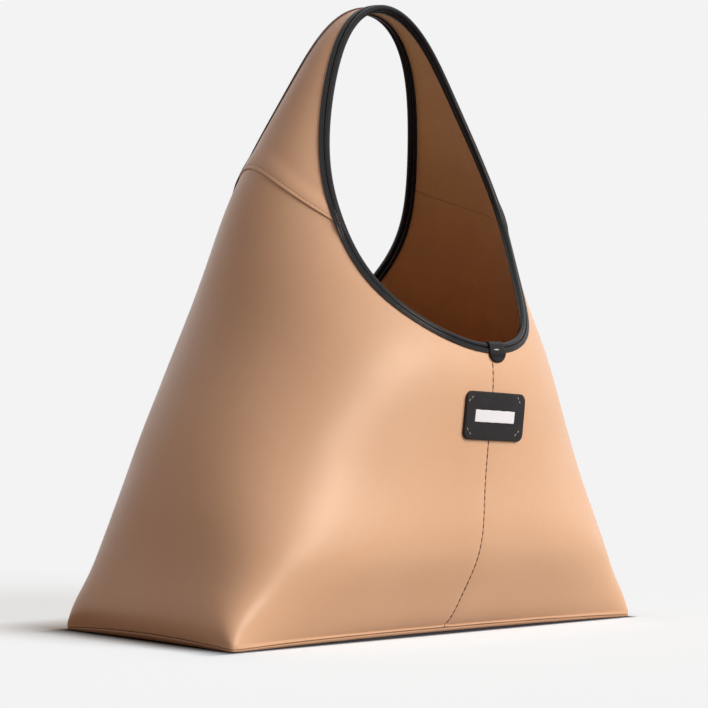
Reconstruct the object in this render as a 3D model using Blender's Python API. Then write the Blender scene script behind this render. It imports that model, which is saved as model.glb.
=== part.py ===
"""Leather tote bag whose two end panels run up and over as one shoulder strap.

All leather lies on one curved surface, written once in skin(). Seen from the front it is a parabola.
From above it is a rectangle at the base, with its long edges drawn in, and an ellipse at the mouths.
Layers are that surface moved along its normals, so the shell, the lining and the bound rims follow
each other. Metres, +Z up, front towards -Y, with the origin at the centre of the underside.
"""

import bmesh
import bpy
import numpy as np

# Overall sizes
BASE_LENGTH = 0.4205
BASE_DEPTH = 0.1765
BAG_HEIGHT = 0.460
MOUTH_HEIGHT = 0.203
BODY_DEPTH = 0.252
STRAP_WIDTH = 0.0174
WAIST_DEPTH = 0.015
WAIST_FADE = 0.009
SEAM_DROP = 0.1477
SEAM_SLANT = 0.0177
SEAM_SLANT_CHANGE = 0.0012
SEAM_RISE = 0.00765
SEAM_BOW = 0.0206
LEAN_LEFT = 0.0038
LEAN_FRONT = 0.0055

# Layers of the wall, from the outside in
LEATHER = 0.0018
LINING = 0.0008
CLEARANCE = 0.0003
LINING_CLEARANCE = 0.0006
SEAM_LAP = 0.008
LAP_CLEARANCE = 0.0006
BACKING_WIDTH = 0.016

# Base
TRAY_HEIGHT = 0.0045
BOARD_THICKNESS = 0.0015
BASE_CLEARANCE = 0.0005

# Bound rims
FLANGE = 0.0038
BINDING_LEATHER = 0.0008
RIM_BAND = 0.009
RIM_CLEARANCE = 0.0009
CORD_DIAMETER = 0.0026
CORD_CLEARANCE = 0.0004
JOINT_GAP = 0.0006

# Tabs over the joints of the bindings
TAB_WIDTH = 0.016
TAB_LENGTH = 0.0105
TAB_INSIDE = 0.008
TAB_LEATHER = 0.001
TAB_CLEARANCE = 0.0007
FRONT_TAB_OFFSET = 0.0044

# Patch with its woven label
PATCH_WIDTH = 0.0635
PATCH_HEIGHT = 0.034
PATCH_CORNER = 0.0055
PATCH_LEATHER = 0.0016
PATCH_OFFSET = 0.0038
PATCH_DROP = 0.048
PATCH_TILT_DEGREES = 1.5
PATCH_CLEARANCE = 0.0007
LABEL_WIDTH = 0.042
LABEL_HEIGHT = 0.0085
LABEL_CLOTH = 0.0004
LABEL_OFFSET = -0.0022

# Shape of the surface. Levels are shares of a height, the others say how far a size has changed
BODY_LEVEL_SHARES = (0.0, 0.06, 0.14, 0.27, 0.49, 0.74, 1.0)
BODY_SPREAD_SHARES = (0.0, 0.098, 0.29, 0.658, 0.844, 0.991, 1.0)
ARCH_LEVEL_SHARES = (0.125, 0.24, 0.415, 0.61, 0.805, 1.0)
ARCH_TAPER_SHARES = (0.131, 0.281, 0.453, 0.635, 0.833, 1.0)
FULLNESS_LEVEL_SHARES = (0.0, 0.033, 0.087, 0.20, 0.325, 0.45, 0.565, 0.675, 0.78, 0.89, 1.0)
FULLNESS_SHARES = (1.0, 1.029, 1.018, 1.031, 1.0135, 0.945, 0.9665, 1.0076, 0.98, 0.969, 1.056)
LEAN_LEVEL_SHARES = (0.0, 0.25, 0.5, 0.75, 1.0)
LEAN_LEFT_SHARES = (0.0, 0.827, 0.715, 0.114, 1.0)
LEAN_FRONT_SHARES = (0.0, -0.193, -0.555, -0.087, 1.0)
RIM_LEVEL_SHARES = (0.0, 0.2, 0.4, 0.6, 0.8, 1.0)
RIM_DEGREES = (90.0, 72.1, 54.8, 42.7, 29.8, 20.4)
RIM_RIGHT_DEGREES = (0.0, -0.2, 2.2, -0.6, 2.7, 0.0)
ROUND_HEIGHT_SHARE = 0.535
ROUND_POWER = 2.65
CORNER_LEAST_SHARE = 0.021
ROW_GATHER_POWER = 1.55

# Facets
COLUMNS = 20
STRAP_COLUMNS = 10
BODY_ROWS = 9
MOUTH_ROWS = 10
STRAP_ROWS = 11
TAB_STATIONS = 9
TAB_TABLE_STEPS = 801
BEAD_FACETS = 4
CORD_FACETS = 6
CORNER_POINTS = 4
PATCH_SPANS = 6
LABEL_COLUMNS = 5
PLAQUE_ROWS = 3
SHARP_DEGREES = 50

# Sizes that follow from those above
LINING_TOP = -LEATHER - LINING_CLEARANCE
WALL = LINING - LINING_TOP
SHELL_BOTTOM = TRAY_HEIGHT + CLEARANCE
ARCH_HEIGHT = BAG_HEIGHT - MOUTH_HEIGHT
SEAM_SHARE = 1 - SEAM_DROP / ARCH_HEIGHT
LAP_SHARE = SEAM_SHARE + SEAM_LAP / ARCH_HEIGHT
STRAP_LIFT = LAP_CLEARANCE + LEATHER
CORD_SEAT = CORD_DIAMETER / 2 + CORD_CLEARANCE
BEAD_BORE = CORD_DIAMETER / 2 + CORD_CLEARANCE
BEAD_RADIUS = BEAD_BORE + BINDING_LEATHER
PATCH_LEVEL = MOUTH_HEIGHT - PATCH_DROP

STEP = 1e-4


def curve_through(knots, values):
    """A natural cubic curve through the points, as a function of the knots' coordinate."""
    x, y = np.asarray(knots, float), np.asarray(values, float)
    width = np.diff(x)
    system, load = np.eye(len(x)), np.zeros(len(x))
    for i in range(1, len(x) - 1):
        system[i, i - 1 : i + 2] = width[i - 1], 2 * (width[i - 1] + width[i]), width[i]
        load[i] = 6 * ((y[i + 1] - y[i]) / width[i] - (y[i] - y[i - 1]) / width[i - 1])
    bend = np.linalg.solve(system, load)

    def value(at):
        at = np.clip(at, x[0], x[-1])
        i = np.clip(np.searchsorted(x, at) - 1, 0, len(x) - 2)
        after, before, w = x[i + 1] - at, at - x[i], width[i]
        bent = (bend[i] * after**3 + bend[i + 1] * before**3) / (6 * w)
        start = (y[i] / w - bend[i] * w / 6) * after
        end = (y[i + 1] / w - bend[i + 1] * w / 6) * before
        return bent + start + end

    return value


def depth_curve():
    """Half the depth of the bag at each height, base to crest."""
    base, body = BASE_DEPTH / 2, BODY_DEPTH / 2
    crest = STRAP_WIDTH / 2 / np.sin(np.radians(RIM_DEGREES[-1]))
    heights = [MOUTH_HEIGHT * share for share in BODY_LEVEL_SHARES]
    depths = [base + (body - base) * share for share in BODY_SPREAD_SHARES]
    heights += [MOUTH_HEIGHT + ARCH_HEIGHT * share for share in ARCH_LEVEL_SHARES]
    depths += [body + (crest - body) * share for share in ARCH_TAPER_SHARES]
    return curve_through(heights, depths)


half_depth = depth_curve()
fullness = curve_through(FULLNESS_LEVEL_SHARES, FULLNESS_SHARES)
lean_left = curve_through(LEAN_LEVEL_SHARES, LEAN_LEFT_SHARES)
lean_front = curve_through(LEAN_LEVEL_SHARES, LEAN_FRONT_SHARES)
rim_curve = curve_through(RIM_LEVEL_SHARES, np.radians(RIM_DEGREES))
rim_right = curve_through(RIM_LEVEL_SHARES, np.radians(RIM_RIGHT_DEGREES))


def corner_power(height):
    """Power of the level section's outline: high for a rectangle at the base, 2 for an ellipse above."""
    share = np.clip(height / (ROUND_HEIGHT_SHARE * BAG_HEIGHT), 0, 1)
    return 2 / np.maximum(1 - (1 - share) ** ROUND_POWER, CORNER_LEAST_SHARE)


def sway(height):
    """How far the soft bag leans right and back at a height: nothing at the base."""
    share = height / BAG_HEIGHT
    return -LEAN_LEFT * lean_left(share), -LEAN_FRONT * lean_front(share)


def skin(reach, angle):
    """A point of the outer face of the leather.

    reach is 1 at the right end of the base, 0 at the crest and -1 at the left end. angle is the
    direction in the level section: 0 at the middle of an end, -90 degrees at the front centre and
    90 degrees at the back centre.
    """
    rise = 1 - reach**2
    height = BAG_HEIGHT * rise
    power = corner_power(height)
    cosine, sine = np.abs(np.cos(angle)), np.abs(np.sin(angle))
    radius = (cosine**power + sine**power) ** (-1 / power)
    along, deep = radius * np.cos(angle), radius * np.sin(angle)
    waist = WAIST_DEPTH * np.exp(-height / WAIST_FADE) * (1 - along**2)
    aside, back = sway(height)
    x = BASE_LENGTH / 2 * reach * fullness(rise) * along + aside
    y = (half_depth(height) - waist) * deep + back
    return np.stack([x, y, height + 0 * angle], axis=-1)


def slopes(reach, angle):
    """How the point moves with reach and with angle."""
    by_reach = (skin(reach + STEP, angle) - skin(reach - STEP, angle)) / (2 * STEP)
    by_angle = (skin(reach, angle + STEP) - skin(reach, angle - STEP)) / (2 * STEP)
    return by_reach, by_angle


def unit(vectors):
    return vectors / np.linalg.norm(vectors, axis=-1, keepdims=True)


def outward(reach, angle):
    return unit(np.cross(*slopes(reach, angle)))


def arch_share(turn, side, leg):
    """Height share above the mouths at a rim turn, 0 at the lowest point and 90 degrees at the crest.

    side is -1 at the front rim and 1 at the back rim, which the slanted strap seam lifts. leg is -1
    on the left, where that seam bows upwards, and 1 on the right, where it lies higher.
    """
    share = np.sin(turn) ** 2
    ramp = share * (1 - share) / (SEAM_SHARE * (1 - SEAM_SHARE))
    bow = SEAM_BOW * np.minimum(leg, 0) * (side**2 - 1)
    lift = (SEAM_SLANT - SEAM_SLANT_CHANGE * leg) * side + SEAM_RISE * leg + bow
    return share + lift / ARCH_HEIGHT * ramp


def rim_angle(share, leg):
    """How far the wall reaches round to either rim at a height share above the mouths."""
    root = np.sqrt(np.clip(share, 0, 1))
    return rim_curve(root) + rim_right(root) * np.maximum(leg, 0)


def reach_of(height):
    return np.sqrt(np.clip(1 - height / BAG_HEIGHT, 0, 1))


def seam_angle(reach):
    """The angle that keeps half the seam's clearance to the bag's middle plane."""
    half_length = BASE_LENGTH / 2 * np.abs(reach) * fullness(1 - reach**2)
    return np.pi / 2 - CLEARANCE / 2 / np.maximum(half_length, CLEARANCE)


def rim_place(turn, side):
    """reach and angle of a rim at a signed turn: negative on the left leg, positive on the right."""
    turn = np.mod(turn + np.pi / 2, np.pi) - np.pi / 2
    leg = np.where(turn < 0, -1, 1)
    share = arch_share(turn, side, leg)
    return leg * reach_of(MOUTH_HEIGHT + ARCH_HEIGHT * share), side * rim_angle(share, leg)


def turn_of(share):
    return np.arcsin(np.sqrt(share))


def mouth_turns():
    return np.linspace(0, turn_of(SEAM_SHARE), MOUTH_ROWS + 1)


def strap_turns():
    """From the seam over the lap to the crest."""
    above = np.linspace(turn_of(LAP_SHARE), np.pi / 2, STRAP_ROWS)
    return np.concatenate([[turn_of(SEAM_SHARE)], above])


def row_grid(turns, across, leg):
    """Points and normals of the rows above the mouths."""
    shares = arch_share(turns[:, None], across[None, :], leg)
    height = MOUTH_HEIGHT + ARCH_HEIGHT * shares
    reach = leg * reach_of(height)
    limit = np.minimum(rim_angle(shares, leg), seam_angle(reach))
    angle = limit * across[None, :]
    return skin(reach, angle), outward(reach, angle)


def half_grid(leg):
    """Points and normals of one half of the body, from the base seam to the end of the lap.

    The lowest row's normals are level, so that every layer ends on one plane there.
    """
    across = np.linspace(-1, 1, COLUMNS + 1)
    share = np.linspace(0, 1, BODY_ROWS) ** ROW_GATHER_POWER
    height = SHELL_BOTTOM + (MOUTH_HEIGHT - RIM_BAND - SHELL_BOTTOM) * share
    reach = leg * reach_of(height)[:, None] + 0 * across[None, :]
    angle = seam_angle(reach) * across[None, :]
    lower = skin(reach, angle), outward(reach, angle)
    lower[1][0] = unit(lower[1][0] * (1, 1, 0))
    turns = np.concatenate([mouth_turns(), [turn_of(LAP_SHARE)]])
    upper = row_grid(turns, across, leg)
    return np.concatenate([lower[0], upper[0]]), np.concatenate([lower[1], upper[1]])


def strap_grid():
    """Points and normals of the strap from its left seam over the crest to its right seam."""
    across = np.linspace(-1, 1, STRAP_COLUMNS + 1)
    left = row_grid(strap_turns(), across, -1)
    right = row_grid(strap_turns()[-2::-1], across, 1)
    return np.concatenate([left[0], right[0]]), np.concatenate([left[1], right[1]])


def make_material(name, color, roughness, metallic=0.0):
    material = bpy.data.materials.new(name)
    material.use_nodes = True
    shader = material.node_tree.nodes["Principled BSDF"]
    shader.inputs["Base Color"].default_value = (*color, 1.0)
    shader.inputs["Roughness"].default_value = roughness
    shader.inputs["Metallic"].default_value = metallic
    material.diffuse_color = (*color, 1.0)
    return material


def make_object(name, vertices, faces, material):
    """One closed solid with its faces pointing out, shaded smooth apart from its cut edges."""
    mesh = bpy.data.meshes.new(name)
    mesh.from_pydata([tuple(v) for v in vertices], [], faces)
    shape = bmesh.new()
    shape.from_mesh(mesh)
    bmesh.ops.recalc_face_normals(shape, faces=shape.faces)
    shape.to_mesh(mesh)
    shape.free()
    mesh.shade_smooth()
    mesh.set_sharp_from_angle(angle=np.radians(SHARP_DEGREES))
    mesh.materials.append(material)
    placed = bpy.data.objects.new(name, mesh)
    bpy.context.collection.objects.link(placed)
    return placed


def make_sheet(name, outer, inner, material):
    """The solid between two grids of points with the same rows and columns.

    Every sheet splits its cells along the same diagonal, so that layers stay parallel.
    """
    rows, columns = outer.shape[:2]
    index = np.arange(rows * columns).reshape(rows, columns)
    under = index + rows * columns
    faces = []
    for grid in (index, under):
        a, b, c, d = grid[:-1, :-1], grid[:-1, 1:], grid[1:, 1:], grid[1:, :-1]
        for corners in ((a, b, c), (a, c, d)):
            faces += [tuple(int(i) for i in face) for face in zip(*(g.flat for g in corners))]
    border = np.concatenate([index[0, :-1], index[:-1, -1], index[-1, :0:-1], index[:0:-1, 0]])
    for a, b in zip(border, np.roll(border, -1)):
        faces.append((int(a), int(b), int(b) + rows * columns, int(a) + rows * columns))
    vertices = np.concatenate([outer.reshape(-1, 3), inner.reshape(-1, 3)])
    return make_object(name, vertices, faces, material)


def make_sweep(name, rings, material):
    """The solid through a row of rings, closed by a cap at both ends."""
    count, size = rings.shape[:2]
    index = np.arange(count * size).reshape(count, size)
    faces = [tuple(int(i) for i in index[0]), tuple(int(i) for i in index[-1])]
    after = np.roll(index, -1, axis=1)
    quads = zip(index[:-1].flat, after[:-1].flat, after[1:].flat, index[1:].flat)
    faces += [tuple(int(i) for i in quad) for quad in quads]
    return make_object(name, rings.reshape(-1, 3), faces, material)


def layer(grid, top, bottom):
    """The two faces of a layer, at heights measured outward from the skin."""
    points, normals = grid
    return points + normals * top, points + normals * bottom


def blend(a, b, share):
    return a + (b - a) * share


def seam_side(points, edge, beside, distance):
    """Share of the last column's width at which a place lies at the distance from the seam."""
    aside = sway(points[..., 2])[0]
    across = np.abs(points[..., 0] - aside)
    near, far = across[:, edge], across[:, beside]
    return ((distance - near) / (far - near))[:, None]


def make_shell(name, leg, material):
    return make_sheet(name, *layer(half_grid(leg), 0, -LEATHER), material)


def lining_grid(leg):
    """The half's grid, cut at the strap seam and, below the mouths, beside the backings."""
    points, normals = (grid[:-1].copy() for grid in half_grid(leg))
    below = slice(0, BODY_ROWS + 1)
    for edge, beside in ((0, 1), (-1, -2)):
        place = seam_side(points, edge, beside, BACKING_WIDTH / 2 + CLEARANCE)[below]
        for grid in (points, normals):
            grid[below, edge] = blend(grid[below, edge], grid[below, beside], place)
    return points, normals


def make_lining(name, leg, material):
    return make_sheet(name, *layer(lining_grid(leg), LINING_TOP, -WALL), material)


def make_backing(name, side, material):
    """The strip behind a centre seam, in the lining's layer, on the same facets as the halves."""
    edge, beside = (0, 1) if side < 0 else (-1, -2)
    points, normals = [], []
    for leg in (-1, 1):
        half = [grid[: BODY_ROWS + 1] for grid in half_grid(leg)]
        place = seam_side(half[0], edge, beside, BACKING_WIDTH / 2)
        for columns, grid in zip((points, normals), half):
            pair = [blend(grid[:, edge], grid[:, beside], place), grid[:, edge]]
            columns += pair if leg < 0 else pair[::-1]
    grid = np.stack(points, axis=1), np.stack(normals, axis=1)
    return make_sheet(name, *layer(grid, LINING_TOP, -WALL), material)


def make_strap(name, material):
    """The strap, which lies over the body for the length of each lap and then sinks to the skin."""
    points, normals = strap_grid()
    lift = np.zeros((len(points), 1, 1))
    lift[:2] = lift[-2:] = STRAP_LIFT
    return make_sheet(name, points + normals * lift, points + normals * (lift - LEATHER), material)


def make_strap_lining(name, material):
    points, normals = strap_grid()
    share = CLEARANCE / SEAM_LAP
    for grid in (points, normals):
        grid[0] = blend(grid[0], grid[1], share)
        grid[-1] = blend(grid[-1], grid[-2], share)
    return make_sheet(name, *layer((points, normals), LINING_TOP, -WALL), material)


def rim_turns():
    """Signed turns once round a mouth: from its lowest point up the right leg and down the left."""
    up = np.concatenate([mouth_turns()[:-1], strap_turns()])
    return np.concatenate([up, -up[-2::-1]])


def rim_lifts():
    """How far the strap's lap raises the outer face at each of those turns."""
    up = np.zeros(MOUTH_ROWS + STRAP_ROWS + 1)
    up[MOUTH_ROWS : MOUTH_ROWS + 2] = STRAP_LIFT
    return np.concatenate([up, up[-2::-1]])


def beside_rim(turns, side, profile):
    """Rings along a rim. profile gives, for each turn, distances into the wall and heights off it."""
    reach, angle = rim_place(turns, side)
    run = unit(skin(*rim_place(turns + STEP, side)) - skin(*rim_place(turns - STEP, side)))
    into = unit(np.cross(run, outward(reach, angle))) * -side
    by_reach, by_angle = slopes(reach, angle)
    moves = np.linalg.pinv(np.stack([by_reach, by_angle], axis=-1))
    step = np.einsum("nij,nj->ni", moves, into)
    distance, height = profile
    reach = reach[:, None] + step[:, :1] * distance
    angle = angle[:, None] + step[:, 1:] * distance
    return skin(reach, angle) + outward(reach, angle) * height[..., None]


def arc(radius, facets, centre_distance, centre_height):
    """Half a circle round the bead's centre, from the outer side to the inner side."""
    turn = np.linspace(0, np.pi, facets + 1)
    return centre_distance - radius * np.sin(turn), centre_height + radius * np.cos(turn)


def hem_profile(lifts, clearance, thickness, outer_ends, inner_end, bore):
    """A folded strip round the rim: its two flanges and the bead between them."""
    count = len(lifts)
    top = lifts + clearance
    bottom = np.full(count, -WALL - RIM_CLEARANCE - (clearance - CLEARANCE))
    outside = arc(bore + thickness, BEAD_FACETS, -CORD_SEAT, -WALL / 2)
    inside = arc(bore, BEAD_FACETS, -CORD_SEAT, -WALL / 2)
    zero, inner = np.zeros(count), np.full(count, inner_end)
    distance = [outer_ends, zero]
    height = [top + thickness, top + thickness]
    distance += [zero + d for d in outside[0]]
    height += [zero + h for h in outside[1]]
    distance += [zero, inner, inner, zero]
    height += [bottom - thickness, bottom - thickness, bottom, bottom]
    distance += [zero + d for d in inside[0][::-1]]
    height += [zero + h for h in inside[1][::-1]]
    distance += [zero, outer_ends]
    height += [top, top]
    return np.stack(distance, axis=1), np.stack(height, axis=1)


def part_ends(rings):
    """Moves the two end rings apart, so that the strip's ends meet with the joint's gap."""
    rings[0, :, 0] += JOINT_GAP / 2
    rings[-1, :, 0] -= JOINT_GAP / 2
    return rings


def make_binding(name, side, material):
    lifts = rim_lifts()
    ends = np.full(len(lifts), FLANGE)
    profile = hem_profile(lifts, CLEARANCE, BINDING_LEATHER, ends, FLANGE, BEAD_BORE)
    return make_sweep(name, part_ends(beside_rim(rim_turns(), side, profile)), material)


def make_cord(name, side, material):
    turn = np.arange(CORD_FACETS) * 2 * np.pi / CORD_FACETS
    turns = rim_turns()
    distance = np.tile(-CORD_SEAT + CORD_DIAMETER / 2 * np.cos(turn), (len(turns), 1))
    height = np.tile(-WALL / 2 + CORD_DIAMETER / 2 * np.sin(turn), (len(turns), 1))
    rings = beside_rim(turns, side, (distance, height))
    return make_sweep(name, part_ends(rings), material)


def make_tab(name, side, offset, material):
    """A tongue folded over the binding's joint, rounded at its outer end."""
    table = np.linspace(-turn_of(SEAM_SHARE), turn_of(SEAM_SHARE), TAB_TABLE_STEPS)
    x = skin(*rim_place(table, side))[:, 0] - sway(MOUTH_HEIGHT)[0]
    half = TAB_WIDTH / 2
    place = np.linspace(-half, half, TAB_STATIONS)
    turns = np.interp(place + offset, x, table)
    clearance = CLEARANCE + BINDING_LEATHER + TAB_CLEARANCE
    edge = FLANGE + CLEARANCE
    ends = edge + (TAB_LENGTH - edge) * np.sqrt(1 - (place / (half + CLEARANCE)) ** 2)
    bore = BEAD_RADIUS + TAB_CLEARANCE
    profile = hem_profile(np.zeros(TAB_STATIONS), clearance, TAB_LEATHER, ends, TAB_INSIDE, bore)
    return make_sweep(name, beside_rim(turns, side, profile), material)


def front_face(x, height):
    """Points and normals of the front face at given places across and up."""
    reach = reach_of(height)
    half_length = BASE_LENGTH / 2 * reach * fullness(1 - reach**2)
    power = corner_power(height)
    along = np.clip(x / half_length, -1, 1)
    deep = (1 - np.abs(along) ** power) ** (1 / power)
    angle = -np.arctan2(deep, np.abs(along))
    reach = np.where(x < 0, -reach, reach)
    return skin(reach, angle), outward(reach, angle)


def rounded_columns(width, height, corner, spans):
    """Places across a rounded rectangle and half its height at each of them."""
    turn = np.linspace(0, np.pi / 2, CORNER_POINTS)
    across = width / 2 - corner + corner * np.cos(turn)
    tall = height / 2 - corner + corner * np.sin(turn)
    middle = np.linspace(across[-1], -across[-1], spans + 1)[1:-1]
    places = np.concatenate([across, middle, -across[::-1]])
    halves = np.concatenate([tall, np.full(len(middle), tall[-1]), tall[::-1]])
    return places[::-1], halves[::-1]


def make_plaque(name, columns, middle, lift, thickness, material):
    """A thin piece lying on the front face, a little tilted, given by its columns."""
    places, halves = columns
    rows = np.linspace(-1, 1, PLAQUE_ROWS)
    up = halves[None, :] * rows[:, None]
    cosine, sine = np.cos(np.radians(PATCH_TILT_DEGREES)), np.sin(np.radians(PATCH_TILT_DEGREES))
    along = places[None, :] + middle
    x = PATCH_OFFSET + along * cosine + up * sine
    points, normals = front_face(x, PATCH_LEVEL + up * cosine - along * sine)
    return make_sheet(name, points + normals * (lift + thickness), points + normals * lift, material)


def base_outline(inset):
    """The base seam's outline, drawn in by the given distance, as points of the plan."""
    halves = []
    for leg in (1, -1):
        points, normals = half_grid(leg)
        flat = points[0, :, :2] - unit(normals[0, :, :2]) * inset
        halves.append(flat if leg > 0 else flat[::-1])
    return np.concatenate(halves)


def at_height(outline, height):
    return np.column_stack([outline, np.full(len(outline), height)])


def make_slab(name, inset, low, high, material):
    outline = base_outline(inset)
    rings = np.stack([at_height(outline, low), at_height(outline, high)])
    return make_sweep(name, rings, material)


def make_tray(name, material):
    """The base panel: a flat sheet with its edge turned up to meet the shell."""
    outer, inner = base_outline(0), base_outline(LEATHER)
    levels = ((outer, 0), (outer, TRAY_HEIGHT), (inner, TRAY_HEIGHT), (inner, LEATHER))
    rings = np.stack([at_height(outline, height) for outline, height in levels])
    return make_sweep(name, rings, material)


def clear_scene():
    for old in list(bpy.data.objects):
        bpy.data.objects.remove(old, do_unlink=True)


def main():
    clear_scene()
    tan = make_material("tan_leather", (0.62, 0.37, 0.22), 0.42)
    base_tan = make_material("base_leather", (0.52, 0.30, 0.18), 0.48)
    suede = make_material("brown_suede", (0.19, 0.085, 0.035), 0.95)
    black = make_material("black_leather", (0.018, 0.018, 0.020), 0.38)
    board = make_material("grey_fibreboard", (0.30, 0.29, 0.27), 0.90)
    tape = make_material("backing_tape", (0.45, 0.36, 0.26), 0.85)
    filler = make_material("cotton_filler", (0.72, 0.68, 0.60), 0.90)
    woven = make_material("white_woven", (0.86, 0.86, 0.88), 0.80)

    for name, leg in (("left", -1), ("right", 1)):
        make_shell(f"shell_{name}", leg, tan)
        make_lining(f"lining_{name}", leg, suede)
    make_strap("strap", tan)
    make_strap_lining("lining_strap", suede)

    make_tray("base_panel", base_tan)
    inset = LEATHER + BASE_CLEARANCE
    board_low = LEATHER + CLEARANCE
    board_high = board_low + BOARD_THICKNESS
    make_slab("base_board", inset, board_low, board_high, board)
    inset = WALL + 2 * BASE_CLEARANCE
    make_slab("lining_base", inset, board_high + CLEARANCE, board_high + CLEARANCE + LINING, suede)

    for name, side, offset in (("front", -1, FRONT_TAB_OFFSET), ("back", 1, 0.0)):
        make_binding(f"{name}_binding", side, black)
        make_cord(f"{name}_binding_cord", side, filler)
        make_tab(f"{name}_tab", side, offset, black)
        make_backing(f"{name}_seam_backing", side, tape)

    patch = rounded_columns(PATCH_WIDTH, PATCH_HEIGHT, PATCH_CORNER, PATCH_SPANS)
    make_plaque("label_patch", patch, 0, PATCH_CLEARANCE, PATCH_LEATHER, black)
    places = np.linspace(-LABEL_WIDTH / 2, LABEL_WIDTH / 2, LABEL_COLUMNS)
    label = places, np.full(len(places), LABEL_HEIGHT / 2)
    label_lift = PATCH_CLEARANCE + PATCH_LEATHER + CLEARANCE
    make_plaque("woven_label", label, LABEL_OFFSET, label_lift, LABEL_CLOTH, woven)


main()
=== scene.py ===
"""Looks of the leather tote bag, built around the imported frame.

All leather lies on one curved surface, skin(), the same formula as in the part's source. Every piece is
a grid worked out on that surface and moved along its normals. Metres, +Z up, front towards -Y.
"""

import bpy
import numpy as np
from bpy.props import FloatProperty, FloatVectorProperty, IntProperty, PointerProperty
from mathutils import Matrix, Vector


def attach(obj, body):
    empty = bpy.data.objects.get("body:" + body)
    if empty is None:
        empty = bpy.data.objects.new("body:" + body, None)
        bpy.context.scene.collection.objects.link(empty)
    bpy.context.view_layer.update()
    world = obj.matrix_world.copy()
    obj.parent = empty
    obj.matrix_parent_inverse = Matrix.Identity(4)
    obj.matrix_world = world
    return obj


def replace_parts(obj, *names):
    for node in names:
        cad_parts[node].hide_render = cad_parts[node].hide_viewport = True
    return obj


bl_info = {
    "name": "Tote bag dressing",
    "version": (1, 0, 0),
    "blender": (4, 5, 0),
    "location": "View3D > Sidebar > Tote bag",
    "description": "Leather, suede, bound rims, stitches, stage and light for the tote bag",
    "category": "Object",
}

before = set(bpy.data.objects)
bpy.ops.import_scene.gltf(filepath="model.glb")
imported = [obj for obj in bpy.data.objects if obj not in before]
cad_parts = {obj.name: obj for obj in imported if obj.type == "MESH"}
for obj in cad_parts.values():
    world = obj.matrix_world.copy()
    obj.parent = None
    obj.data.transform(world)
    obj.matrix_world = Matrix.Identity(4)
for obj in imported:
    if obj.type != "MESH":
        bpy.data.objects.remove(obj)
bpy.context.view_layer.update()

MM = 0.001

# The surface, as in the part's source
BASE_LENGTH, BASE_DEPTH, BAG_HEIGHT = 0.4205, 0.1765, 0.460
MOUTH_HEIGHT, BODY_DEPTH, STRAP_WIDTH = 0.203, 0.252, 0.0174
WAIST_DEPTH, WAIST_FADE = 0.015, 0.009
SEAM_DROP, SEAM_LAP = 0.1477, 0.008
SEAM_SLANT, SEAM_SLANT_CHANGE, SEAM_RISE, SEAM_BOW = 0.0177, 0.0012, 0.00765, 0.0206
LEAN_LEFT, LEAN_FRONT = 0.0038, 0.0055
LEATHER, LINING, CLEARANCE, LINING_CLEARANCE = 0.0018, 0.0008, 0.0003, 0.0006
BACKING_WIDTH = 0.016
TRAY_HEIGHT, BOARD_THICKNESS, BASE_CLEARANCE = 0.0045, 0.0015, 0.0005
FLANGE, BINDING_LEATHER, RIM_CLEARANCE = 0.0038, 0.0008, 0.0009
CORD_DIAMETER, CORD_CLEARANCE = 0.0026, 0.0004
TAB_WIDTH, TAB_LENGTH, TAB_INSIDE, TAB_LEATHER = 0.016, 0.0105, 0.008, 0.001
FRONT_TAB_OFFSET = 0.0044
PATCH_WIDTH, PATCH_HEIGHT, PATCH_CORNER, PATCH_LEATHER = 0.0635, 0.034, 0.0055, 0.0016
PATCH_OFFSET, PATCH_DROP, PATCH_TILT_DEGREES, PATCH_CLEARANCE = 0.0038, 0.048, 1.5, 0.0007
LABEL_WIDTH, LABEL_HEIGHT, LABEL_OFFSET = 0.042, 0.0085, -0.0022
BODY_LEVEL_SHARES = (0.0, 0.06, 0.14, 0.27, 0.49, 0.74, 1.0)
BODY_SPREAD_SHARES = (0.0, 0.098, 0.29, 0.658, 0.844, 0.991, 1.0)
ARCH_LEVEL_SHARES = (0.125, 0.24, 0.415, 0.61, 0.805, 1.0)
ARCH_TAPER_SHARES = (0.131, 0.281, 0.453, 0.635, 0.833, 1.0)
FULLNESS_LEVEL_SHARES = (0.0, 0.033, 0.087, 0.20, 0.325, 0.45, 0.565, 0.675, 0.78, 0.89, 1.0)
FULLNESS_SHARES = (1.0, 1.029, 1.018, 1.031, 1.0135, 0.945, 0.9665, 1.0076, 0.98, 0.969, 1.056)
LEAN_LEVEL_SHARES = (0.0, 0.25, 0.5, 0.75, 1.0)
LEAN_LEFT_SHARES = (0.0, 0.827, 0.715, 0.114, 1.0)
LEAN_FRONT_SHARES = (0.0, -0.193, -0.555, -0.087, 1.0)
RIM_LEVEL_SHARES = (0.0, 0.2, 0.4, 0.6, 0.8, 1.0)
RIM_DEGREES = (90.0, 72.1, 54.8, 42.7, 29.8, 20.4)
RIM_RIGHT_DEGREES = (0.0, -0.2, 2.2, -0.6, 2.7, 0.0)
ROUND_HEIGHT_SHARE, ROUND_POWER, CORNER_LEAST_SHARE = 0.535, 2.65, 0.021

LINING_TOP = -LEATHER - LINING_CLEARANCE
WALL = LINING - LINING_TOP
SHELL_BOTTOM = TRAY_HEIGHT + CLEARANCE
ARCH_HEIGHT = BAG_HEIGHT - MOUTH_HEIGHT
SEAM_SHARE = 1 - SEAM_DROP / ARCH_HEIGHT
LAP_RISE = 0.0009
CORD_SEAT = CORD_DIAMETER / 2 + CORD_CLEARANCE
BEAD_RADIUS = CORD_SEAT + BINDING_LEATHER
PATCH_LEVEL = MOUTH_HEIGHT - PATCH_DROP
STEP = 1e-4

# The base seam's height: at the corners, and how much more in the middle of an end and of a long side
SEAM_CORNER, SEAM_END, SEAM_LONG = 0.0015, 0.0036, 0.0016
SEAM_GAP = 0.00005

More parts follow.
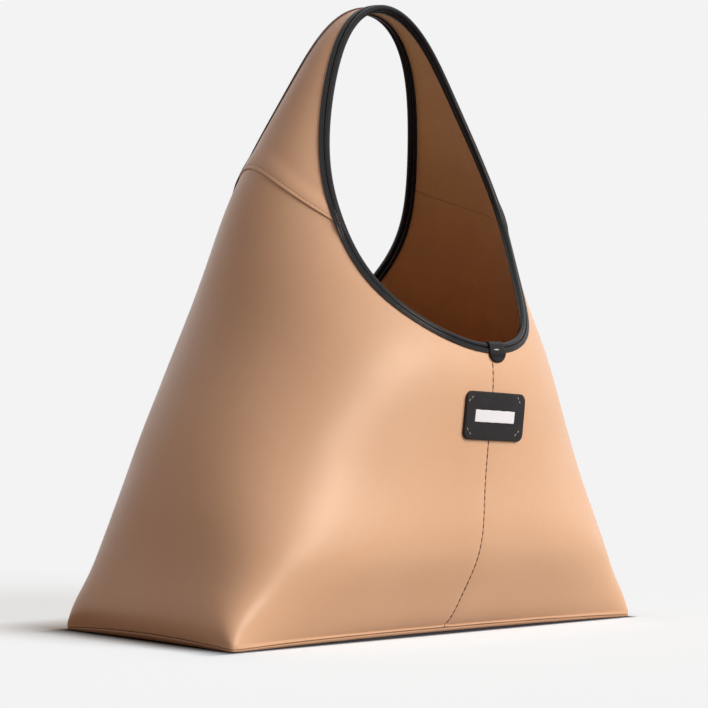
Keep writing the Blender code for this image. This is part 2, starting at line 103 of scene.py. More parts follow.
# The base's foot stands in from its seam: at a corner, and how much more in the middle of an end
FOOT_CORNER, FOOT_END = 1.2 * MM, 6 * MM
BASE_FULL_HEIGHT = 2.6 * MM  # a lower lip leaves the sheet thinner
# Steps of the base's side (share across, share up), its lip and its inner face (millimetres in, share up)
BASE_SIDE = ((1.0, 0.0), (0.72, 0.03), (0.46, 0.11), (0.25, 0.24), (0.1, 0.42), (0.02, 0.62), (0.0, 0.76))
BASE_LIP = ((0.04, 0.86), (0.14, 0.94), (0.35, 1.0), (0.9, 1.0), (1.4, 0.96), (1.8, 0.84))
BASE_INNER = ((2.0, 0.496), (3.2, 0.0))
BASE_CENTRE_SHARE = 0.85

# Ridges and dips of the leather: height, place and width
SEAM_DIP = (0.35 * MM, 0.0, 5 * MM)
STRAP_FOLD = (0.22 * MM, 1.5 * MM, 1.1 * MM)
STRAP_FURROW = (0.16 * MM, 3.4 * MM, 0.5 * MM)
LINING_FOLD = (0.25 * MM, 1.6 * MM, 1.0 * MM)

# Soft unevenness: height, size and seed (the woven strip's height is LABEL_RIPPLE)
BODY_RIPPLE = (0.10 * MM, 0.05, 3)
FLOOR_RIPPLE = (0.08 * MM, 0.06, 5)
PLAQUE_RIPPLE = (0.012, 7)

# Where a cut edge darkens: the share of its fall at which that starts, and over how much more
SEAM_TINT, HEM_TINT, LAP_TINT = (0.8, 0.25), (0.3, 0.45), (0.25, 0.35)
LIP_TINT = (0.1, 0.7, 1.0, 1.0, 1.0)  # by the steps of the base's lip
FLANGE_TINT = (1.0, 1.0, 0.6)  # by the first points of a binding's flange
PLAQUE_TINT = (1.0, 1.0, 0.5)  # by the outer rings of the patch

# Rows and columns of the grids, and how much closer the rows lie at the bottom
BODY_ARCH_ROWS, LINING_ROWS, LINING_ARCH_ROWS, TAPE_ROWS = 64, 40, 46, 70
LINING_COLUMNS, BASE_COLUMNS, FLOOR_COLUMNS, RIM_COLUMNS = 76, 150, 110, 520
ROW_POWER, LINING_ARCH_POWER = 1.7, 1.6
STRAP_GRID, STRAP_LINING_GRID = (19 * MM, 70, 56), (9 * MM, 50, 30)  # start of the even rows, rows, columns
FOLD_PLACE, FOLD_WIDTH, FOLD_GAIN = 0.5, 0.05, 2.0  # where a half's columns crowd at the base's corners
COLUMN_TABLE, LINE_TABLE = 6001, 4001  # points of the tables behind even columns and even stitches

# Places on the grids: rows by the strap's seam in millimetres, and shares of a piece
EDGE_SHARES = np.array([0.0, 0.0004, 0.0009, 0.0015, 0.0023, 0.0035, 0.0055, 0.0085, 0.013])
STRAP_ROWS = (0, 0.05, 0.15, 0.3, 0.5, 0.8, 1.2, 1.7, 2.3, 2.8, 3.2, 3.6, 4.1, 4.8, 6, 8, 10, 13, 16)
STRAP_LINING_ROWS = (0.3, 0.5, 0.8, 1.2, 2, 3, 4, 6)
TAPE_SHARES = (-1, -0.97, -0.9, -0.6, -0.3, 0.0, 0.3, 0.6, 0.9, 0.97, 1)
FLOOR_SHARES = (0.0, 0.03, 0.25, 0.5, 0.7, 0.85, 0.93, 0.97, 0.99, 1.0)
FLOOR_FULL_SHARES = (1.0,) * 8 + (0.8, 0.2)
PLAQUE_EDGE_SHARES = (0, 0.06, 0.2, 0.42, 0.7, 1.0)
PLAQUE_MIDDLE_SHARES = (0.94, 0.85, 0.7, 0.5, 0.3, 0.1)
TAB_ACROSS_SHARES = (1, 0.995, 0.98, 0.95, 0.91, 0.85, 0.75, 0.6, 0.4, 0.2)
TAB_OUTSIDE_SHARES = (0, 0.02, 0.05, 0.1, 0.17, 0.27, 0.4, 0.55, 0.7, 0.85)
TAB_INSIDE_SHARES = (0.15, 0.3, 0.5, 0.7, 0.85, 0.93, 0.97, 1.0)

# A binding's outer flange: millimetres from the rim and off the skin, before the lift
FLANGE_POINTS = (
    (3.80, -0.28), (3.92, 0.10), (3.86, 0.45), (3.66, 0.74), (3.35, 0.80), (2.9, 0.80), (2.45, 0.76),
    (2.2, 0.64), (2.05, 0.60), (1.9, 0.64), (1.65, 0.76), (1.2, 0.82), (0.8, 0.80), (0.5, 0.66), (0.33, 0.42),
)
FLANGE_LIFT = 0.3
INNER_FLANGE_POINTS = ((0.35, 0.75), (0.7, 0.12), (1.3, 0.0), (3.3, 0.0), (3.72, 0.2), (3.8, 0.75))
BEAD_DEGREES, BEAD_POINTS, BEAD_LIFTS = (38, 322), 27, (0.85, 0.68, 0.51, 0.34, 0.17, 0.0)

# Edges and ends: radii, and how far thickness runs out
STRAP_EDGE, STRAP_TUCK, STRAP_SKIVE = 0.9 * MM, 0.1 * MM, (8 * MM, 16 * MM)
LAP_FADE, RIM_LAP_START = (6 * MM, 20 * MM), -9 * MM
LINING_EDGE, TAPE_EDGE, TAPE_START, TAPE_DOME = 1.0 * MM, 0.8 * MM, 3 * MM, 0.7
HALF_LINING_THIN, STRAP_LINING_THIN, SKIVED_LAP = 0.5, 0.6, 0.97  # as shares of the full thickness
TAB_EASE, TAB_EDGE, TAB_SINK, TAB_ROUND, TAB_ARC = 0.15 * MM, 0.55 * MM, 0.9 * MM, 0.985, 22
PATCH_LIFT, PATCH_EDGE, LABEL_LIFT, LABEL_EDGE = 0.5 * MM, 0.55 * MM, 0.02 * MM, 0.3 * MM
LABEL_RISE, LABEL_CORNER, LABEL_WAVE, LABEL_RIPPLE = 0.45 * MM, 0.4 * MM, 0.10 * MM, 0.04 * MM
LABEL_WAVE_SIZE = 1.7 * MM

# Stitches: lengths, pitches and rows. A share is of the pitch for a length, and of the thread for a width
RIM_STITCH_SHARE, RIM_THREAD_SHARES, RIM_ROW, RIM_ROW_HEIGHT = 0.78, (0.9, 0.8), 2.05 * MM, 0.92 * MM
RIM_SKIP, RIM_SKIP_RISE = 1 * MM, 30 * MM  # beside the tab, and up to this far above the mouth's lowest point
SEAM_STITCH_SHARE, SEAM_THREAD_SHARE, SEAM_STITCH_DEPTH = 0.70, 1.45, 0.45 * MM
SEAM_STITCH_START, SEAM_STITCH_END = 1 * MM, 5 * MM  # above the base seam and below the mouth
STRAP_STITCH, STRAP_PITCH, STRAP_STITCH_REACH, STRAP_STITCH_SINK = 2.5 * MM, 3.4 * MM, 0.93, 0.10 * MM
TAB_STITCH, TAB_STITCH_ROW, TAB_STITCH_ASIDE, TAB_THREAD_SHARES = 6.2 * MM, 1.4 * MM, 1.7 * MM, (1.7, 1.2)
PATCH_STITCH = 2.4 * MM

# The stitches at the patch's corners: millimetres across and up, and degrees of slant
PATCH_STITCHES = (
    (-29.6, 10.3, 50.0), (-27.0, 12.5, 50.0), (22.0, 13.9, -56.0), (24.1, 11.3, -56.0),
    (-29.1, -9.7, -52.0), (-26.3, -12.5, -52.0), (22.5, -12.0, 50.0), (25.3, -9.7, 50.0),
)

# Which way each name lies: legs along the bag, faces across it, and each face's tab
LEGS = (("left", -1), ("right", 1))
FACES = (("front", -1), ("back", 1))
TABS = (("front", -1, FRONT_TAB_OFFSET), ("back", 1, 0.0))

# Colours that no user changes
SUEDE_PAINTED_LIGHT = (0.99, 0.59, 0.29)  # painted light: the lining's tone turns paler towards the crest, standing in for the light that reaches it there
EDGE_BROWN, PATCH_EDGE_BROWN = (0.14, 0.045, 0.02), (0.035, 0.015, 0.01)
WOVEN_WHITE, BOARD_GREY, CORD_WHITE = (0.88, 0.88, 0.90), (0.30, 0.29, 0.27), (0.72, 0.68, 0.60)

# Lamps: name, setting, width in degrees, direction, colour, and whether it only shines back
LAMPS = (
    ("key_lamp", "key", 42, (0.377, -0.808, 0.454), (1.0, 1.0, 1.0), False),
    ("sheen_lamp", "sheen", 26, (-0.079, -0.903, 0.423), (1.0, 0.86, 0.75), True),
)
FLOOR_SIZE, FLOOR_LEVEL = 40.0, -0.0002
FLOOR_CORNERS = ((-1, -1), (1, -1), (1, 1), (-1, 1))
FLOOR_GLOW, FLOOR_FADE = 0.8, 0.07  # the glowing share of its tone far off, and where it is full
PAINTED_SHADOW_REACH = (0.030, 0.007)  # reach of the painted shadow beside the left end and beside the other sides
# The painted shadow's colour, and the share of the floor's own tone left right beside the base
PAINTED_SHADOW_COLOUR, PAINTED_SHADOW_LEAST = (0.02, 0.02, 0.03), 0.04
NEAR_TONE = (0.83, 0.86, 0.895)  # makes up for the light that the bag throws on the floor beside it
FLOOR_GREY = (0.45, 0.45, 0.45)  # what all but the camera sees

# The photograph's camera: azimuth 45.8 degrees, 1.49 m away, 148 mm above the floor
CAMERA_PLACE = (-1.07041616, -1.04104224, 0.14824030)
CAMERA_RIGHT = (0.70212641, -0.71181395, 0.01842278)
CAMERA_UP = (-0.03775126, -0.01137615, 0.99922241)
CAMERA_BACK = (-0.71105087, -0.70227593, -0.03485937)
SENSOR_WIDTH, FOCAL_PIXELS, PICTURE_PIXELS, VIEW_END = 36.0, 1991.993, 708, 200.0


# The surface


def curve_through(knots, values):
    """A natural cubic curve through the points, as a function of the knots' coordinate."""
    x, y = np.asarray(knots, float), np.asarray(values, float)
    width = np.diff(x)
    system, load = np.eye(len(x)), np.zeros(len(x))
    for i in range(1, len(x) - 1):
        system[i, i - 1 : i + 2] = width[i - 1], 2 * (width[i - 1] + width[i]), width[i]
        load[i] = 6 * ((y[i + 1] - y[i]) / width[i] - (y[i] - y[i - 1]) / width[i - 1])
    bend = np.linalg.solve(system, load)

    def value(at):
        at = np.clip(at, x[0], x[-1])
        i = np.clip(np.searchsorted(x, at) - 1, 0, len(x) - 2)
        after, before, w = x[i + 1] - at, at - x[i], width[i]
        bent = (bend[i] * after**3 + bend[i + 1] * before**3) / (6 * w)
        start = (y[i] / w - bend[i] * w / 6) * after
        end = (y[i + 1] / w - bend[i + 1] * w / 6) * before
        return bent + start + end

    return value


def depth_curve():
    """Half the depth of the bag at each height, base to crest."""
    base, body = BASE_DEPTH / 2, BODY_DEPTH / 2
    crest = STRAP_WIDTH / 2 / np.sin(np.radians(RIM_DEGREES[-1]))
    heights = [MOUTH_HEIGHT * share for share in BODY_LEVEL_SHARES]
    depths = [base + (body - base) * share for share in BODY_SPREAD_SHARES]
    heights += [MOUTH_HEIGHT + ARCH_HEIGHT * share for share in ARCH_LEVEL_SHARES]
    depths += [body + (crest - body) * share for share in ARCH_TAPER_SHARES]
    return curve_through(heights, depths)


half_depth = depth_curve()
fullness = curve_through(FULLNESS_LEVEL_SHARES, FULLNESS_SHARES)
lean_left = curve_through(LEAN_LEVEL_SHARES, LEAN_LEFT_SHARES)
lean_front = curve_through(LEAN_LEVEL_SHARES, LEAN_FRONT_SHARES)
rim_curve = curve_through(RIM_LEVEL_SHARES, np.radians(RIM_DEGREES))
rim_right = curve_through(RIM_LEVEL_SHARES, np.radians(RIM_RIGHT_DEGREES))


def corner_power(height):
    """Power of the level section's outline: high for a rectangle at the base, 2 for an ellipse above."""
    share = np.clip(height / (ROUND_HEIGHT_SHARE * BAG_HEIGHT), 0, 1)
    return 2 / np.maximum(1 - (1 - share) ** ROUND_POWER, CORNER_LEAST_SHARE)


def sway(height):
    """How far the soft bag leans right and back at a height: nothing at the base."""
    share = height / BAG_HEIGHT
    return -LEAN_LEFT * lean_left(share), -LEAN_FRONT * lean_front(share)


def level_outline(height, angle):
    """Shares of half the length and half the depth on a level section, a superellipse, at an angle."""
    power = corner_power(height)
    cosine, sine = np.cos(angle), np.sin(angle)
    radius = (np.abs(cosine) ** power + np.abs(sine) ** power) ** (-1 / power)
    return radius * cosine, radius * sine


def half_length(reach):
    """Half the bag's length where reach is: its share of the base's, times the fullness there."""
    return BASE_LENGTH / 2 * reach * fullness(1 - reach**2)


def skin(reach, angle):
    """A point of the outer face of the leather.

    A level section is a superellipse whose power falls with height. Its half length follows a
    parabola in reach, 1 at the right end of the base and 0 at the crest, and its half depth the depth
    curve. angle is 0 at the middle of an end and -90 degrees at the front centre.
    """
    height = BAG_HEIGHT * (1 - reach**2)
    along, deep = level_outline(height, angle)
    waist = WAIST_DEPTH * np.exp(-height / WAIST_FADE) * (1 - along**2)
    aside, back = sway(height)
    x = half_length(reach) * along + aside
    y = (half_depth(height) - waist) * deep + back
    return np.stack([x, y, height + 0 * angle], axis=-1)


def unit(vectors):
    return vectors / np.linalg.norm(vectors, axis=-1, keepdims=True)


def slopes(reach, angle):
    """How the point moves with reach and with angle."""
    by_reach = (skin(reach + STEP, angle) - skin(reach - STEP, angle)) / (2 * STEP)
    by_angle = (skin(reach, angle + STEP) - skin(reach, angle - STEP)) / (2 * STEP)
    return by_reach, by_angle


def outward(reach, angle):
    """The skin's normal: the cross product of both slopes, made one long."""
    return unit(np.cross(*slopes(reach, angle)))


def reach_of(height):
    """The reach at a height: the root of what is left of the bag's height above it, as a share."""
    return np.sqrt(np.clip(1 - height / BAG_HEIGHT, 0, 1))


def turn_of(share):
    """The turn whose squared sine is the share."""
    return np.arcsin(np.sqrt(np.clip(share, 0, 1)))


def arch_share(turn, side, leg):
    """Height share above the mouths at a rim turn: the turn's squared sine and the strap seam's lift.

    The seam climbs towards the back rim. On the left leg it bows upwards, on the right it lies higher.
    """
    share = np.sin(turn) ** 2
    ramp = share * (1 - share) / (SEAM_SHARE * (1 - SEAM_SHARE))
    bow = SEAM_BOW * np.minimum(leg, 0) * (side**2 - 1)
    lift = (SEAM_SLANT - SEAM_SLANT_CHANGE * leg) * side + SEAM_RISE * leg + bow
    return share + lift / ARCH_HEIGHT * ramp


def rim_angle(share, leg):
    """How far the wall reaches round to either rim at a height share above the mouths."""
    root = np.sqrt(np.clip(share, 0, 1))
    return rim_curve(root) + rim_right(root) * np.maximum(leg, 0)


def seam_angle(reach, gap=CLEARANCE):
    """The angle that keeps half a gap to the bag's middle plane."""
    return np.pi / 2 - gap / 2 / np.maximum(np.abs(half_length(reach)), gap)


def rim_place(turn, side):
    """reach and angle of a rim at a turn, from 0 at its lowest point up the right leg to pi."""
    turn = np.mod(turn + np.pi / 2, np.pi) - np.pi / 2
    leg = np.where(turn < 0, -1, 1)
    share = arch_share(turn, side, leg)
    return leg * reach_of(MOUTH_HEIGHT + ARCH_HEIGHT * share), side * rim_angle(share, leg)


def beside_rim(turns, side, distance, height):
    """Rings along a rim, at distances into the wall from its edge and at heights off the skin."""
    reach, angle = rim_place(turns, side)
    run = unit(skin(*rim_place(turns + STEP, side)) - skin(*rim_place(turns - STEP, side)))
    into = unit(np.cross(run, outward(reach, angle))) * -side
    by_reach, by_angle = slopes(reach, angle)
    moves = np.linalg.pinv(np.stack([by_reach, by_angle], axis=-1))
    step = np.einsum("nij,nj->ni", moves, into)
    reach = reach[:, None] + step[:, :1] * distance
    angle = angle[:, None] + step[:, 1:] * distance
    return skin(reach, angle) + outward(reach, angle) * height[..., None]


def front_place(x, height, side=-1):
    """reach and angle of the front face, or the back face, at places across and up."""
    reach = reach_of(height)
    power = corner_power(height)
    along = np.clip(x / half_length(reach), -1, 1)
    deep = (1 - np.abs(along) ** power) ** (1 / power)
    angle = side * np.arctan2(deep, np.abs(along))
    return np.where(x < 0, -reach, reach), angle


# Steps and edges


def smooth(value, start, end):
    """0 before start, 1 after end, and a smooth step between."""
    share = np.clip((value - start) / (end - start), 0, 1)
    return share * share * (3 - 2 * share)


def rounding(distance, radius):
    """Share of the full thickness at a distance from an edge that is rounded to a quarter circle."""
    short = np.clip(1 - distance / radius, 0, 1)
    return np.sqrt(1 - short**2)


def bell(distance, height, place, width):
    """A soft ridge of a height round a place."""
    return height * np.exp(-(((distance - place) / width) ** 2))


def darkening(fall, start, span):
    """How dark a cut edge is where it has fallen by a share of its full fall."""
    return np.clip((fall - start) / span, 0, 1)


def ripple(points, size, seed):
    """A soft wave in space between -1 and 1: the mean of three sines in directions set by the seed."""
    rng = np.random.default_rng(seed)
    ways = unit(rng.normal(size=(3, 3))) * 2 * np.pi / size
    phases = rng.uniform(0, 2 * np.pi, 3)
    return np.sin(points @ ways.T + phases).mean(axis=-1)


# Meshes


def grid_cells(index, closed=False):
    """The cells of a grid of point numbers, going round if closed."""
    if closed:
        index = np.concatenate([index, index[:, :1]], axis=1)
    cells = (index[:-1, :-1], index[:-1, 1:], index[1:, 1:], index[1:, :-1])
    return np.stack(cells, axis=-1).reshape(-1, 4)


def volume_of(points, faces):
    """Six times the volume that the faces close in: the sum of the triple products of their triangles."""
    first, total = points[faces[:, 0]], 0.0
    for k in range(1, faces.shape[1] - 1):
        total += np.einsum("ij,ij->", first, np.cross(points[faces[:, k]], points[faces[:, k + 1]]))
    return total


def put_object(name, data):
    """A new object in the scene, at the origin."""
    placed = bpy.data.objects.new(name, data)
    bpy.context.collection.objects.link(placed)
    return placed


def put_piece(name, points, face_sets, material, attributes=None):
    """A closed piece from points and arrays of faces, turned outwards by the sign of its volume."""
    points = np.asarray(points, float).reshape(-1, 3)
    centred = points - points.mean(axis=0)
    if sum(volume_of(centred, faces) for faces in face_sets) < 0:
        face_sets = [faces[:, ::-1] for faces in face_sets]
    corners = np.concatenate([faces.ravel() for faces in face_sets])
    sizes = np.concatenate([np.full(len(faces), faces.shape[1]) for faces in face_sets])
    mesh = bpy.data.meshes.new(name)
    mesh.vertices.add(len(points))
    mesh.vertices.foreach_set("co", points.ravel())
    mesh.loops.add(len(corners))
    mesh.loops.foreach_set("vertex_index", corners.astype(np.int32))
    mesh.polygons.add(len(sizes))
    mesh.polygons.foreach_set("loop_start", np.concatenate([[0], np.cumsum(sizes)[:-1]]).astype(np.int32))
    mesh.update(calc_edges=True)
    mesh.validate()
    mesh.shade_smooth()
    mesh.set_sharp_from_angle(angle=np.radians(60))
    for label, values in (attributes or {}).items():
        layer = mesh.attributes.new(label, "FLOAT", "POINT")
        layer.data.foreach_set("value", np.asarray(values, np.float32).ravel())
    mesh.materials.append(material)
    if not mesh.polygons:
        raise RuntimeError(f"{name} has no faces")
    piece = put_object(name, mesh)
    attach(piece, "root")
    return piece


def put_sheet(name, outer, inner, material, attributes=None):
    """The closed piece between two grids of points with the same rows and columns."""
    index = np.arange(outer[..., 0].size).reshape(outer.shape[:2])
    below = index + index.size
    border = np.concatenate([index[0, :-1], index[:-1, -1], index[-1, :0:-1], index[:0:-1, 0]])
    after = np.roll(border, -1)
    walls = np.stack([after, border, border + index.size, after + index.size], axis=-1)
    faces = [grid_cells(index), grid_cells(below)[:, ::-1], walls]
    points = np.concatenate([outer.reshape(-1, 3), inner.reshape(-1, 3)])
    doubled = {k: np.concatenate([v.ravel(), v.ravel()]) for k, v in (attributes or {}).items()}
    return put_piece(name, points, faces, material, doubled)


def put_ring_sweep(name, rings, material, attributes=None, joined=False):
    """The closed piece through a row of rings, capped at both ends or joined end to end."""
    index = np.arange(rings[..., 0].size).reshape(rings.shape[:2])
    if joined:
        faces = [grid_cells(np.concatenate([index, index[:1]]), closed=True)]
    else:
        faces = [grid_cells(index, closed=True), index[:1, ::-1], index[-1:]]
    return put_piece(name, rings, faces, material, attributes)


def even_places(curve, low, high, pitch):
    """Parameters of a curve at even distances along it, with the curve's length shared evenly."""
    at = np.linspace(low, high, LINE_TABLE)
    steps = np.linalg.norm(np.diff(curve(at), axis=0), axis=1)
    length = np.concatenate([[0], np.cumsum(steps)])
    count = max(int(round(length[-1] / pitch)), 1)
    return np.interp((np.arange(count) + 0.5) * length[-1] / count, length, at)


def sewn_line(row, place, low, high, pitch):
    """Places, directions and normals at even distances along a row of stitches."""
    at = even_places(row, low, high, pitch)
    return row(at), row(at + STEP) - row(at - STEP), outward(*place(at))


def put_stitches(name, places, runs, normals, length, width, height, material):
    """Short threads: each is a spindle of six sides along its run, its size the root of a parabola."""
    along = np.array([-1.0, -0.8, -0.3, 0.3, 0.8, 1.0])
    size = np.sqrt(1 - 0.93 * along**2)
    turn = np.arange(6) * np.pi / 3
    across = width / 2 * size[:, None] * np.cos(turn)
    up = height / 2 * (size[:, None] * np.sin(turn) + size[:, None] - 1)
    ahead = length / 2 * along[:, None] + 0 * turn
    runs, normals = unit(runs), unit(normals)
    shape = np.stack([ahead, across, up], axis=-1).reshape(-1, 3)
    axes = np.stack([runs, unit(np.cross(normals, runs)), normals], axis=1)
    points = places[:, None, :] + np.einsum("vk,nkj->nvj", shape, axes)
    offsets = (np.arange(len(places)) * len(shape))[:, None, None]
    index = np.arange(len(shape)).reshape(len(along), -1)
    quads = (grid_cells(index, closed=True)[None] + offsets).reshape(-1, 4)
    caps = (np.stack([index[0][::-1], index[-1]])[None] + offsets).reshape(-1, len(turn))
    return put_piece(name, points, [quads, caps], material)


# Parameter grids


def across_shares(count, edges=True):
    """Columns of a half: close together along both edges and at the folds over the base's corners."""
    end = 1 - EDGE_SHARES[-1] * 1.5 if edges else 1.0
    table = np.linspace(-end, end, COLUMN_TABLE)
    density = 1 + sum(bell(table, FOLD_GAIN, place, FOLD_WIDTH) for place in (-FOLD_PLACE, FOLD_PLACE))
    total = np.concatenate([[0], np.cumsum((density[1:] + density[:-1]) / 2)])
    inner = np.interp(np.linspace(0, total[-1], count), total, table)
    if not edges:
        return inner
    return np.concatenate([EDGE_SHARES - 1, inner, (1 - EDGE_SHARES)[::-1]])


def base_seam(angle):
    """Height of the base seam: lowest at the corners, highest in the middle of an end."""
    along, deep = level_outline(SHELL_BOTTOM, angle)
    return SEAM_CORNER + SEAM_END * (1 - deep**2) + SEAM_LONG * (1 - along**4)


def arch_place(leg, turns, columns):
    """reach and angle above the mouths, at turns up a leg and at columns from rim to rim."""
    shares = arch_share(turns, columns, leg)
    reach = leg * reach_of(MOUTH_HEIGHT + ARCH_HEIGHT * shares)
    return reach, np.minimum(rim_angle(shares, np.sign(reach)), seam_angle(reach)) * columns


def half_place(leg, columns, body_rows, arch_turns, bottom=SHELL_BOTTOM):
    """reach and angle of one half of the body on a grid, from its bottom up to the last turn."""
    share = np.linspace(0, 1, body_rows)[:, None] ** ROW_POWER
    reach = leg * reach_of(bottom + (MOUTH_HEIGHT - bottom) * share) + 0 * columns
    above, arch_angle = arch_place(leg, arch_turns[:, None], columns[None, :])
    return np.concatenate([reach, above]), np.concatenate([seam_angle(reach) * columns, arch_angle])


def strap_grid(near, last, rows, columns):
    """Points, normals and distances from the seam, on a grid up the left leg and down the right.

    near gives the rows by the seam in millimetres, and the other rows follow from last up to the crest.
    """
    near = np.array(near) * MM
    up = np.concatenate([strap_turns_at(near), np.linspace(strap_turns_at(last), np.pi / 2, rows)])
    columns = np.linspace(-1, 1, columns)[None, :]
    grids = []
    for leg, turns in ((-1, up), (1, up[-2::-1])):
        place = arch_place(leg, turns[:, None], columns)
        distance = (np.sin(turns) ** 2 - SEAM_SHARE)[:, None] * ARCH_HEIGHT + 0 * columns
        grids.append((skin(*place), outward(*place), distance))
    return [np.concatenate(pair) for pair in zip(*grids)]


def strap_turns_at(distances):
    """Turns of the rows that lie at given distances above the strap's seam."""
    return turn_of(SEAM_SHARE + np.asarray(distances) / ARCH_HEIGHT)


def lap_lift(distance):
    """Height of the strap's outer face over the skin: full over the lap, then sinking to nothing."""
    return LAP_RISE * (1 - smooth(distance, *LAP_FADE))


def rim_lift(turns):
    """The same height along a rim, with a short ramp where the rim climbs onto the lap."""
    folded = np.minimum(turns, np.pi - turns)
    distance = (np.sin(folded) ** 2 - SEAM_SHARE) * ARCH_HEIGHT
    return np.where(distance < 0, LAP_RISE * smooth(distance, RIM_LAP_START, 0), lap_lift(distance))


# Sizes and colours that a user may change


def size_setting(name, description, default):
    return FloatProperty(name=name, description=description, default=default, unit="LENGTH")


def colour_setting(name, description, default):
    return FloatVectorProperty(name=name, description=description, default=default, subtype="COLOR")


def light_setting(name, description, default):
    return FloatProperty(name=name, description=description, default=default)


class DressingSizes(bpy.types.PropertyGroup):
    seam_valley: size_setting("Seam valley", "Radius of the leather's edges where the halves meet", 1.1 * MM)
    hem: size_setting("Hem", "Radius of the leather's edge at the base seam", 0.6 * MM)
    stitch_pitch: size_setting("Seam stitch pitch", "From stitch to stitch", 4.9 * MM)
    rim_pitch: size_setting("Rim stitch pitch", "From stitch to stitch", 2.6 * MM)
    thread: size_setting("Thread", "Diameter of the thread", 0.55 * MM)
    columns: IntProperty(name="Columns", description="Columns of a body half", default=150, min=40)
    rows: IntProperty(name="Rows", description="Rows of a body half below the mouths", default=84, min=20)


class DressingColours(bpy.types.PropertyGroup):
    leather: colour_setting("Leather", "Tan of the body", (0.75, 0.45, 0.272))
    base: colour_setting("Base", "Tan of the base panel", (0.54, 0.315, 0.185))
    suede: colour_setting("Suede", "Brown of the lining", (0.66, 0.335, 0.125))
    binding: colour_setting("Binding", "Black of rims and tabs", (0.0045, 0.0045, 0.006))
    patch: colour_setting("Patch", "Grey-black of the patch", (0.019, 0.018, 0.019))
    cream: colour_setting("Cream thread", "Thread of patch and tab", (0.70, 0.60, 0.47))
    brown: colour_setting("Brown thread", "Thread of the front seam", (0.13, 0.045, 0.02))
    pale: colour_setting("Background", "Grey-white of the studio", (0.896, 0.896, 0.896))


class StageSettings(bpy.types.PropertyGroup):
    key: light_setting("Key light", "Strength of the wide light from the right", 3.3)
    sheen: light_setting("Sheen light", "Strength of the light that shines back", 1.12)
    fill: light_setting("Fill light", "Strength of the light from all round", 0.212)
    warmth: colour_setting("Fill colour", "Colour of that light", (1.0, 0.67, 0.49))


# Materials


class Nodes:
    """The node tree of a material or of the world, with one short call for each node."""

    def __init__(self, owner):
        owner.use_nodes = True
        self.owner, self.tree = owner, owner.node_tree

    def add(self, kind, **settings):
        node = self.tree.nodes.new(kind)
        for key, value in settings.items():
            setattr(node, key, value)
        return node

    def join(self, source, target):
        """Links a socket to the target, or sets the target to a number or a colour."""
        if hasattr(source, "is_linked"):
            self.tree.links.new(source, target)
        else:
            target.default_value = (*source[:3], 1.0) if np.ndim(source) else source

    def place(self):
        """The object's own coordinates, from one node for the whole tree."""
        node = self.tree.nodes.get("place") or self.add("ShaderNodeTexCoord", name="place")
        return node.outputs["Object"]

    def axes(self):
        node = self.add("ShaderNodeSeparateXYZ")
        self.join(self.place(), node.inputs[0])
        return node.outputs

    def texture(self, kind, output, inputs, **settings):
        node = self.add(kind, **settings)
        self.join(self.place(), node.inputs["Vector"])
        for key, value in inputs.items():
            node.inputs[key].default_value = value
        return node.outputs[output]

    def noise(self, scale, detail=3.0, roughness=0.5, distortion=0.0):
        inputs = {"Scale": scale, "Detail": detail, "Roughness": roughness, "Distortion": distortion}
        return self.texture("ShaderNodeTexNoise", "Fac", inputs)

    def cells(self, scale, feature="DISTANCE_TO_EDGE"):
        return self.texture("ShaderNodeTexVoronoi", "Distance", {"Scale": scale}, feature=feature)

    def ribs(self, scale, direction):
        settings = {"wave_type": "BANDS", "bands_direction": direction}
        return self.texture("ShaderNodeTexWave", "Fac", {"Scale": scale}, **settings)

    def math(self, operation, first, second=0.0):
        node = self.add("ShaderNodeMath", operation=operation)
        self.join(first, node.inputs[0])
        self.join(second, node.inputs[1])
        return node.outputs[0]

    def spread(self, *values):
        """A value carried from one range to another: value, low, high, new low, new high."""
        node = self.add("ShaderNodeMapRange")
        for key, item in enumerate(values):
            self.join(item, node.inputs[key])
        return node.outputs[0]

    def mix(self, share, first, second):
        node = self.add("ShaderNodeMix", data_type="RGBA")
        for key, item in (("Factor", share), (6, first), (7, second)):
            self.join(item, node.inputs[key])
        return node.outputs[2]

    def tone(self, value, low, high, share, first, second):
        """The first colour, with a share of the second where the value has risen from low to high."""
        return self.mix(self.spread(value, low, high, 0.0, share), first, second)

    def mix_shaders(self, share, first, second, output):
        node = self.add("ShaderNodeMixShader")
        for key, item in enumerate((share, first.outputs[0], second.outputs[0])):
            self.join(item, node.inputs[key])
        self.join(node.outputs[0], output.inputs["Surface"])

    def attribute(self, label):
        return self.add("ShaderNodeAttribute", attribute_name=label).outputs["Fac"]

    def bump(self, height, distance, strength, under=None):
        node = self.add("ShaderNodeBump")
        node.inputs["Strength"].default_value = strength
        node.inputs["Distance"].default_value = distance
        self.join(height, node.inputs["Height"])
        if under is not None:
            self.join(under, node.inputs["Normal"])
        return node.outputs["Normal"]

    def finish(self, color, roughness, normal, **sockets):
        shader = self.tree.nodes["Principled BSDF"]
        for key, item in (("Base Color", color), ("Roughness", roughness), ("Normal", normal)):
            self.join(item, shader.inputs[key])
        for key, value in sockets.items():
            shader.inputs[key.replace("_", " ")].default_value = value
        return self.owner


def new_finish(name):
    """The nodes of a new material."""
    return Nodes(bpy.data.materials.new(name))


def shade(color, factor, warm=0.0):
    """The colour made darker or lighter, and a little redder."""
    red, green, blue = color[:3]
    return (min(red * factor * (1 + warm), 1), green * factor, blue * factor * (1 - warm))


